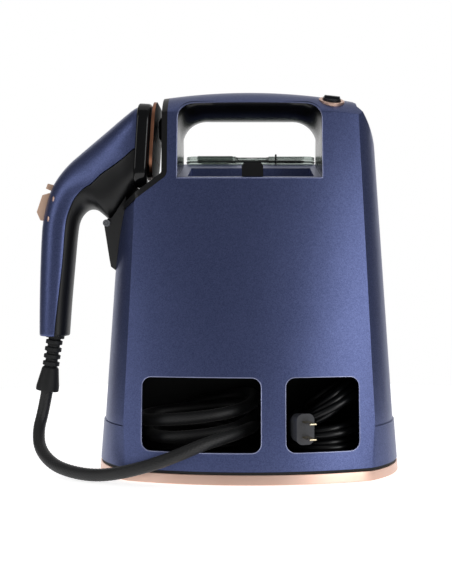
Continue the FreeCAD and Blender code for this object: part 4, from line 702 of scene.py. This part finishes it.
def opening_highlight_bead(name, path):
    """A light bead on the rear housing along the edge of an opening: a painted highlight."""
    filled = fill_in(path)
    middle = Vector((sum(x for x, _ in filled), sum(z for _, z in filled))) / len(filled)
    places = []
    for x, z in filled:
        out = (Vector((x, z)) - middle).normalized() * RIM_PROBE
        y = surface_y(x + out.x, z + out.y, True, ["rear_housing", "top_cover"])
        places.append((x + out.x * BEAD_OUT, y if y is not None else places[-1][1], z + out.y * BEAD_OUT))
    wire(name, places, BEAD_RADIUS_MM, painted_highlight_edge, "base")


# a light, glossy colour that paints the highlight of the shell's rounded edge
painted_highlight_edge = satin_metal("lacquer_edge_painted_highlight", "A9AFD0", "9299C0", 0.6, 0.22)
BEAD_RADIUS_MM, BEAD_OUT = 0.45, 0.25
HOLE_FLOOR = 261 * MM
opening_highlight_bead("hand_hole_highlight_bead", arch_path(HOLE_LEFT, HOLE_RIGHT, HOLE_FLOOR, HOLE_TOP, HOLE_CORNER))
WINDOW_LOW, WINDOW_HIGH, WINDOW_CORNER = 27 * MM, 89 * MM, 8 * MM
for name, left, right in (("hose_window_highlight_bead", -91.6, 9.9), ("cord_window_highlight_bead", 31, 94)):
    opening_highlight_bead(name, rounded_loop(left * MM, right * MM, WINDOW_LOW, WINDOW_HIGH, WINDOW_CORNER))

# %% Lid ribs
lid_low, lid_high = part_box("tank_lid")
print("lid", [round(value / MM, 1) for value in (*lid_low, *lid_high)])
LID_CORNER = 6 * MM
# the ribs and seal are opaque dark wires: painted shade for the dark outlines that the clear lid's edges show
painted_shade_edge = moulded("smoky_styrene_painted_shade_edge", "1B2322", "2A3433", 0.2, depth=0.004)
for name, inset, level, thick in (
    ("lid_seal", 0.4, 285.6, 0.7), ("lid_rib_low", 10.5, 287.0, 0.45), ("lid_rib_high", 10.5, 290.2, 0.35),
):
    x_inset, y_inset = inset * MM, min(inset, 5) * MM
    places = rounded_loop(
        lid_low[0] + x_inset, lid_high[0] - x_inset, lid_low[1] + y_inset, lid_high[1] - y_inset, LID_CORNER,
    )
    wire(name, [(x, y, level * MM) for x, y in places], thick, painted_shade_edge, "tank")

# %% [markdown]
# ## Hose and mains cord
#
# A cord is one smooth line. It is drawn as a NURBS curve whose control points are the
# corners of the route, so the line runs smoothly past each of them. The steam hose leaves the strain
# relief under the handset, falls in a wide curve to the table, climbs over the bin's sill and winds
# up inside the bin. Its coil's turns are loose, so each has its own radius and height.

# %% Routes
def coil_turns(centre, stations):
    """Points round a centre, each from an angle in degrees, a radius and a height in millimetres."""
    x, y = centre
    return [
        (x + radius * math.cos(math.radians(angle)), y + radius * math.sin(math.radians(angle)), height)
        for angle, radius, height in stations
    ]


def stadium_turns(centre, stretch, stations):
    """The same round two half circles, whose middles lie a stretch to either side of the centre."""
    turns = []
    for angle, radius, height in stations:
        ahead = math.cos(math.radians(angle))
        shift = stretch * max(-1, min(1, 1.6 * ahead))
        turns += coil_turns((centre[0] + shift, centre[1]), [(angle, radius, height)])
    return turns


def smooth_line(name, route, depth=0.0):
    """A NURBS curve object past the route's points, which are in millimetres."""
    data = bpy.data.curves.new(name, "CURVE")
    data.dimensions = "3D"
    data.resolution_u = 8
    spline = data.splines.new("NURBS")
    spline.points.add(len(route) - 1)
    for point, place in zip(spline.points, route):
        point.co = (*[value * MM for value in place], 1)
    spline.order_u = 3
    spline.use_endpoint_u = True
    data.bevel_depth = depth
    data.bevel_resolution = 6
    data.use_fill_caps = depth > 0
    made = bpy.data.objects.new(name, data)
    bpy.context.scene.collection.objects.link(made)
    return made


def line_points(line):
    """The places along a curve that has no bevel, and its length."""
    bpy.context.view_layer.update()
    shape = bpy.data.meshes.new_from_object(line.evaluated_get(bpy.context.evaluated_depsgraph_get()))
    places = [vertex.co.copy() for vertex in shape.vertices]
    bpy.data.meshes.remove(shape)
    return places, sum((b - a).length for a, b in zip(places, places[1:]))


HOSE_DIAMETER = 11
RELIEF_FOOT = (-186.17, 0, 69.46)  # the middle of the strain relief's lower end
hose_fall = [
    RELIEF_FOOT, (-189.6, 0, 50), (-192.5, -8, 35), (-188, -24, 20), (-172, -44, 9.5), (-150, -61, 5.9),
    (-127, -73, 5.9), (-103, -82, 11), (-78, -86, 18.6), (-58, -85, 26), (-40, -80, 33), (-22, -71, 37.5),
    (-8, -60, 40.5), (1, -46, 42),
]
hose_turns = stadium_turns((-47, -15), 15, [
    (-8, 39, 41.5), (20, 38, 39), (45, 36, 33), (70, 34, 28.5), (90, 33, 27), (120, 29, 26.5), (150, 27, 26.5),
    (180, 27, 26.5), (210, 27, 27), (240, 27, 28), (270, 27, 29), (300, 27, 29.5), (330, 26.5, 30),
    (360, 26, 31), (390, 25, 33.5), (420, 25, 36.5), (450, 25, 37.5), (480, 25, 37.5), (510, 25, 38),
    (540, 27, 38), (570, 33, 36), (600, 37.5, 34), (630, 38, 36), (660, 38, 40.5), (690, 38, 46.5),
    (715, 37, 53), (740, 36, 55.5), (765, 31, 56), (790, 27, 55), (810, 26, 53), (835, 27, 51), (865, 32, 49),
    (900, 37, 47.5), (930, 38, 48), (960, 38, 49.5), (990, 38, 52), (1020, 38, 56), (1050, 38, 60.5),
    (1075, 38, 65), (1100, 38, 67), (1125, 38, 66), (1145, 38, 62),
])
hose_tail = [(-52, 22.5, 56), (-66, 21.5, 48), (-80, 21, 42), (-91, 21, 40), (-101.7, 21, 40)]
hose_line = smooth_line("hose_line", hose_fall + hose_turns + hose_tail)
hose_places, hose_length = line_points(hose_line)
bpy.data.objects.remove(hose_line)
print(f"steam hose: {hose_length:.3f} m")

# %% [markdown]
# ## The braided tube
#
# The sleeve's yarns cross on a slant. Two families of helices go round the tube, one each way, and
# where one is on top the other dips, so the radius at a point follows a product of two waves. The
# tube is a mesh of rings along the line, and each ring's points move in and out by that product.
# A real sleeve's yarns are about 0.6 mm wide: twelve round an 11 mm hose are 2.9 mm wide each, which
# is as coarse as the distance needs.

# %% Braided tube
RINGS_PER_MM = 1.4
RING_SIDES = 60
YARNS = 12           # yarns that lean each way
YARN_PITCH_MM = 44   # the length in which one yarn goes round once
YARN_RISE_MM = 0.4


def even_places(places, step):
    """The same line cut into equal steps."""
    lengths = [0.0]
    for a, b in zip(places, places[1:]):
        lengths.append(lengths[-1] + (b - a).length)
    count = max(2, round(lengths[-1] / step))
    even, at = [], 0
    for number in range(count + 1):
        want = lengths[-1] * number / count
        while at < len(lengths) - 2 and lengths[at + 1] < want:
            at += 1
        share = (want - lengths[at]) / max(lengths[at + 1] - lengths[at], 1e-9)
        even.append(places[at].lerp(places[at + 1], min(max(share, 0), 1)))
    return even


def ring_frames(places):
    """A sideways and an upward direction at each place, turned as little as possible from one to the next."""
    frames, side = [], None
    for number, place in enumerate(places):
        ahead = (places[min(number + 1, len(places) - 1)] - places[max(number - 1, 0)]).normalized()
        if side is None:
            side = ahead.orthogonal().normalized()
        side = (side - ahead * side.dot(ahead)).normalized()
        frames.append((side, ahead.cross(side)))
    return frames


def tube_mesh(name, places, radius_at, sides, material):
    """A tube round a line whose radius is a function of the ring's number and the angle."""
    made = bmesh.new()
    rings = []
    for number, (place, (side, up)) in enumerate(zip(places, ring_frames(places))):
        ring = []
        for step in range(sides):
            angle = 2 * math.pi * step / sides
            reach = radius_at(number, angle)
            ring.append(made.verts.new(place + (side * math.cos(angle) + up * math.sin(angle)) * reach))
        rings.append(ring)
    for low, high in zip(rings, rings[1:]):
        for step in range(sides):
            after = (step + 1) % sides
            made.faces.new((low[step], low[after], high[after], high[step])).smooth = True
    made.faces.new(list(reversed(rings[0])))
    made.faces.new(rings[-1])
    data = bpy.data.meshes.new(name)
    made.to_mesh(data)
    made.free()
    data.materials.append(material)
    thing = bpy.data.objects.new(name, data)
    bpy.context.scene.collection.objects.link(thing)
    return thing


hose_rings = even_places(hose_places, MM / RINGS_PER_MM)
ring_step_mm = hose_length / MM / (len(hose_rings) - 1)


def braid_radius(number, angle):
    turn = 2 * math.pi * number * ring_step_mm / YARN_PITCH_MM
    left = math.sin(YARNS * (angle + turn) / 2)
    right = math.sin(YARNS * (angle - turn) / 2)
    return (HOSE_DIAMETER / 2 - YARN_RISE_MM * (1 - abs(left * right) ** 0.6)) * MM


steam_hose = tube_mesh("steam_hose", hose_rings, braid_radius, RING_SIDES, braid)
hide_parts("hose_tube", "hose_coil")
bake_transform(steam_hose)

# %% [markdown]
# ## The mains cord
#
# The cord is thinner, with a smooth PVC jacket. It goes into the back wall of its bin through a
# gland, and its nine loose turns end in a fan to the right, where the last ones lean on the bin's wall. Its
# far end comes back to the front of the bin and ends in the moulded plug.

# %% Mains cord
CORD_DIAMETER = 6.5
cord_root = [(31, 23.7, 34), (31, 14, 34), (31, 3, 33)]
cord_stations = []
CORD_TURNS, STATIONS_PER_TURN = 9, 12
FLAT_TURNS, FLAT_LEAN, FAN_LEAN = 5, 2.2, 37.0  # the last turns fan up against the bin's right wall
for number in range(CORD_TURNS * STATIONS_PER_TURN):
    angle = 180 + 360 * number / STATIONS_PER_TURN
    turn = number / STATIONS_PER_TURN
    lean = 0.5 - 0.5 * math.cos(math.radians(angle - 180))  # 0 at the left of the coil, 1 at its right
    fan = min(max(turn - FLAT_TURNS + 0.5, 0), 1)
    radius = 35 - 4.6 * (math.floor(turn) % 3) + 0.9 * math.sin(turn * 2.1)
    rise = FLAT_LEAN * turn * (1 - fan) + (FAN_LEAN - 1.5 * (CORD_TURNS - turn)) * fan
    cord_stations.append((angle, radius, 25 + 2.6 * turn + lean * rise))
cord_turns = coil_turns((66, -20), cord_stations)
plug_yaw = math.radians(20)
plug_way = Vector((math.sin(plug_yaw), -math.cos(plug_yaw), 0))
PLUG_TAIL = Vector((47, -87, 47.5)) - plug_way * 33.4
cord_end = [(31, -22, 44), (29.5, -33, 46), tuple(PLUG_TAIL - plug_way * 10), tuple(PLUG_TAIL)]
mains_cord = smooth_line("mains_cord", cord_root + cord_turns + cord_end, CORD_DIAMETER / 2 * MM)
mains_cord.data.materials.append(pvc_jacket)
bare = smooth_line("cord_line", cord_root + cord_turns + cord_end)
cord_places, cord_length = line_points(bare)
bpy.data.objects.remove(bare)
print(f"mains cord: {cord_length:.3f} m")
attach(mains_cord, "base")
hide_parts("cord_leads", "cord_coil")

# %% [markdown]
# ## Camera, floor and light
#
# The camera stands 0.9 m behind the machine, level, at half its height, with a long lens that keeps
# the base's sides nearly parallel. The set is a plain pale sweep. Large soft lamps stand to
# both sides and above, because a satin lacquer shows a lamp as a soft gradient as wide as the lamp.

# %% Camera
camera_data = bpy.data.cameras.new("camera")
camera_data.lens = 60.4
camera_data.shift_x = -0.0377
camera_data.shift_y = -0.029
camera = bpy.data.objects.new("camera", camera_data)
camera.location = (-0.001, -0.903, 0.176)
camera.rotation_euler = (math.radians(90), 0, 0)
bpy.context.scene.collection.objects.link(camera)
bpy.context.scene.camera = camera

# %% Floor
def flat_panel(name, corners, material):
    """A flat piece of the set from its corners, in metres."""
    data = bpy.data.meshes.new(name)
    data.from_pydata(corners, [], [tuple(range(len(corners)))])
    data.materials.append(material)
    panel = bpy.data.objects.new(name, data)
    bpy.context.scene.collection.objects.link(panel)


FLOOR_GLOW = 0.75
paper, paper_tree = new_material("pale_paper_sweep")
close(paper, paper_tree, add(paper_tree, "ShaderNodeBsdfPrincipled", inputs={
    "Base Color": linear("E8E8E8"), "Roughness": 0.6, "Emission Color": linear("FFFFFF"),
    "Emission Strength": FLOOR_GLOW,
}))
FLOOR_MIDDLE, FLOOR_RADIUS, FLOOR_SIDES = 0.1, 0.62, 96
flat_panel("floor", [
    (FLOOR_RADIUS * math.cos(2 * math.pi * step / FLOOR_SIDES),
     FLOOR_MIDDLE + FLOOR_RADIUS * math.sin(2 * math.pi * step / FLOOR_SIDES), 0)
    for step in range(FLOOR_SIDES)
], paper)

# %% Backdrop
glow, glow_tree = new_material("lit_backdrop")
lit = add(glow_tree, "ShaderNodeEmission", inputs={"Color": linear("FFFFFF"), "Strength": 1.0})
add(glow_tree, "ShaderNodeOutputMaterial", inputs={"Surface": lit.outputs["Emission"]})
BACKDROP_Y, BACKDROP_HALF, BACKDROP_TOP = 1.5, 1.6, 1.7
flat_panel("backdrop", [
    (-BACKDROP_HALF, BACKDROP_Y, -0.3), (BACKDROP_HALF, BACKDROP_Y, -0.3),
    (BACKDROP_HALF, BACKDROP_Y, BACKDROP_TOP), (-BACKDROP_HALF, BACKDROP_Y, BACKDROP_TOP),
], glow)

# %% Lamps
ROOM_LIGHT = 0.16  # what the walls of the studio give back, against a white backdrop of 1


def soft_lamp(name, place, aim, width, height, watts):
    data = bpy.data.lights.new(name, "AREA")
    data.shape = "RECTANGLE"
    data.size, data.size_y, data.energy = width, height, watts
    lamp = bpy.data.objects.new(name, data)
    lamp.location = place
    lamp.rotation_euler = (Vector(aim) - Vector(place)).to_track_quat("-Z", "Y").to_euler()
    bpy.context.scene.collection.objects.link(lamp)


soft_lamp("right_box", (0.95, -1.15, 0.45), (0, 0, 0.17), 0.6, 1.0, 7.5)
soft_lamp("left_box", (-1.2, -0.9, 0.6), (0, 0, 0.17), 0.6, 1.0, 3.5)
soft_lamp("top_box", (0, 0.3, 2.2), (0, 0, 0.2), 2.4, 2.4, 9)
world = bpy.data.worlds.new("studio")
world.use_nodes = True
sky = world.node_tree
sky.nodes.clear()
ray = add(sky, "ShaderNodeLightPath")
shine = add(sky, "ShaderNodeMapRange", inputs={
    "Value": ray.outputs["Is Camera Ray"], "To Min": ROOM_LIGHT, "To Max": 1.0,
})
air = add(sky, "ShaderNodeBackground", inputs={
    "Color": linear("FFFFFF"), "Strength": shine.outputs["Result"],
})
add(sky, "ShaderNodeOutputWorld", inputs={"Surface": air.outputs["Background"]})
bpy.context.scene.world = world
bpy.context.scene.view_settings.view_transform = "Standard"
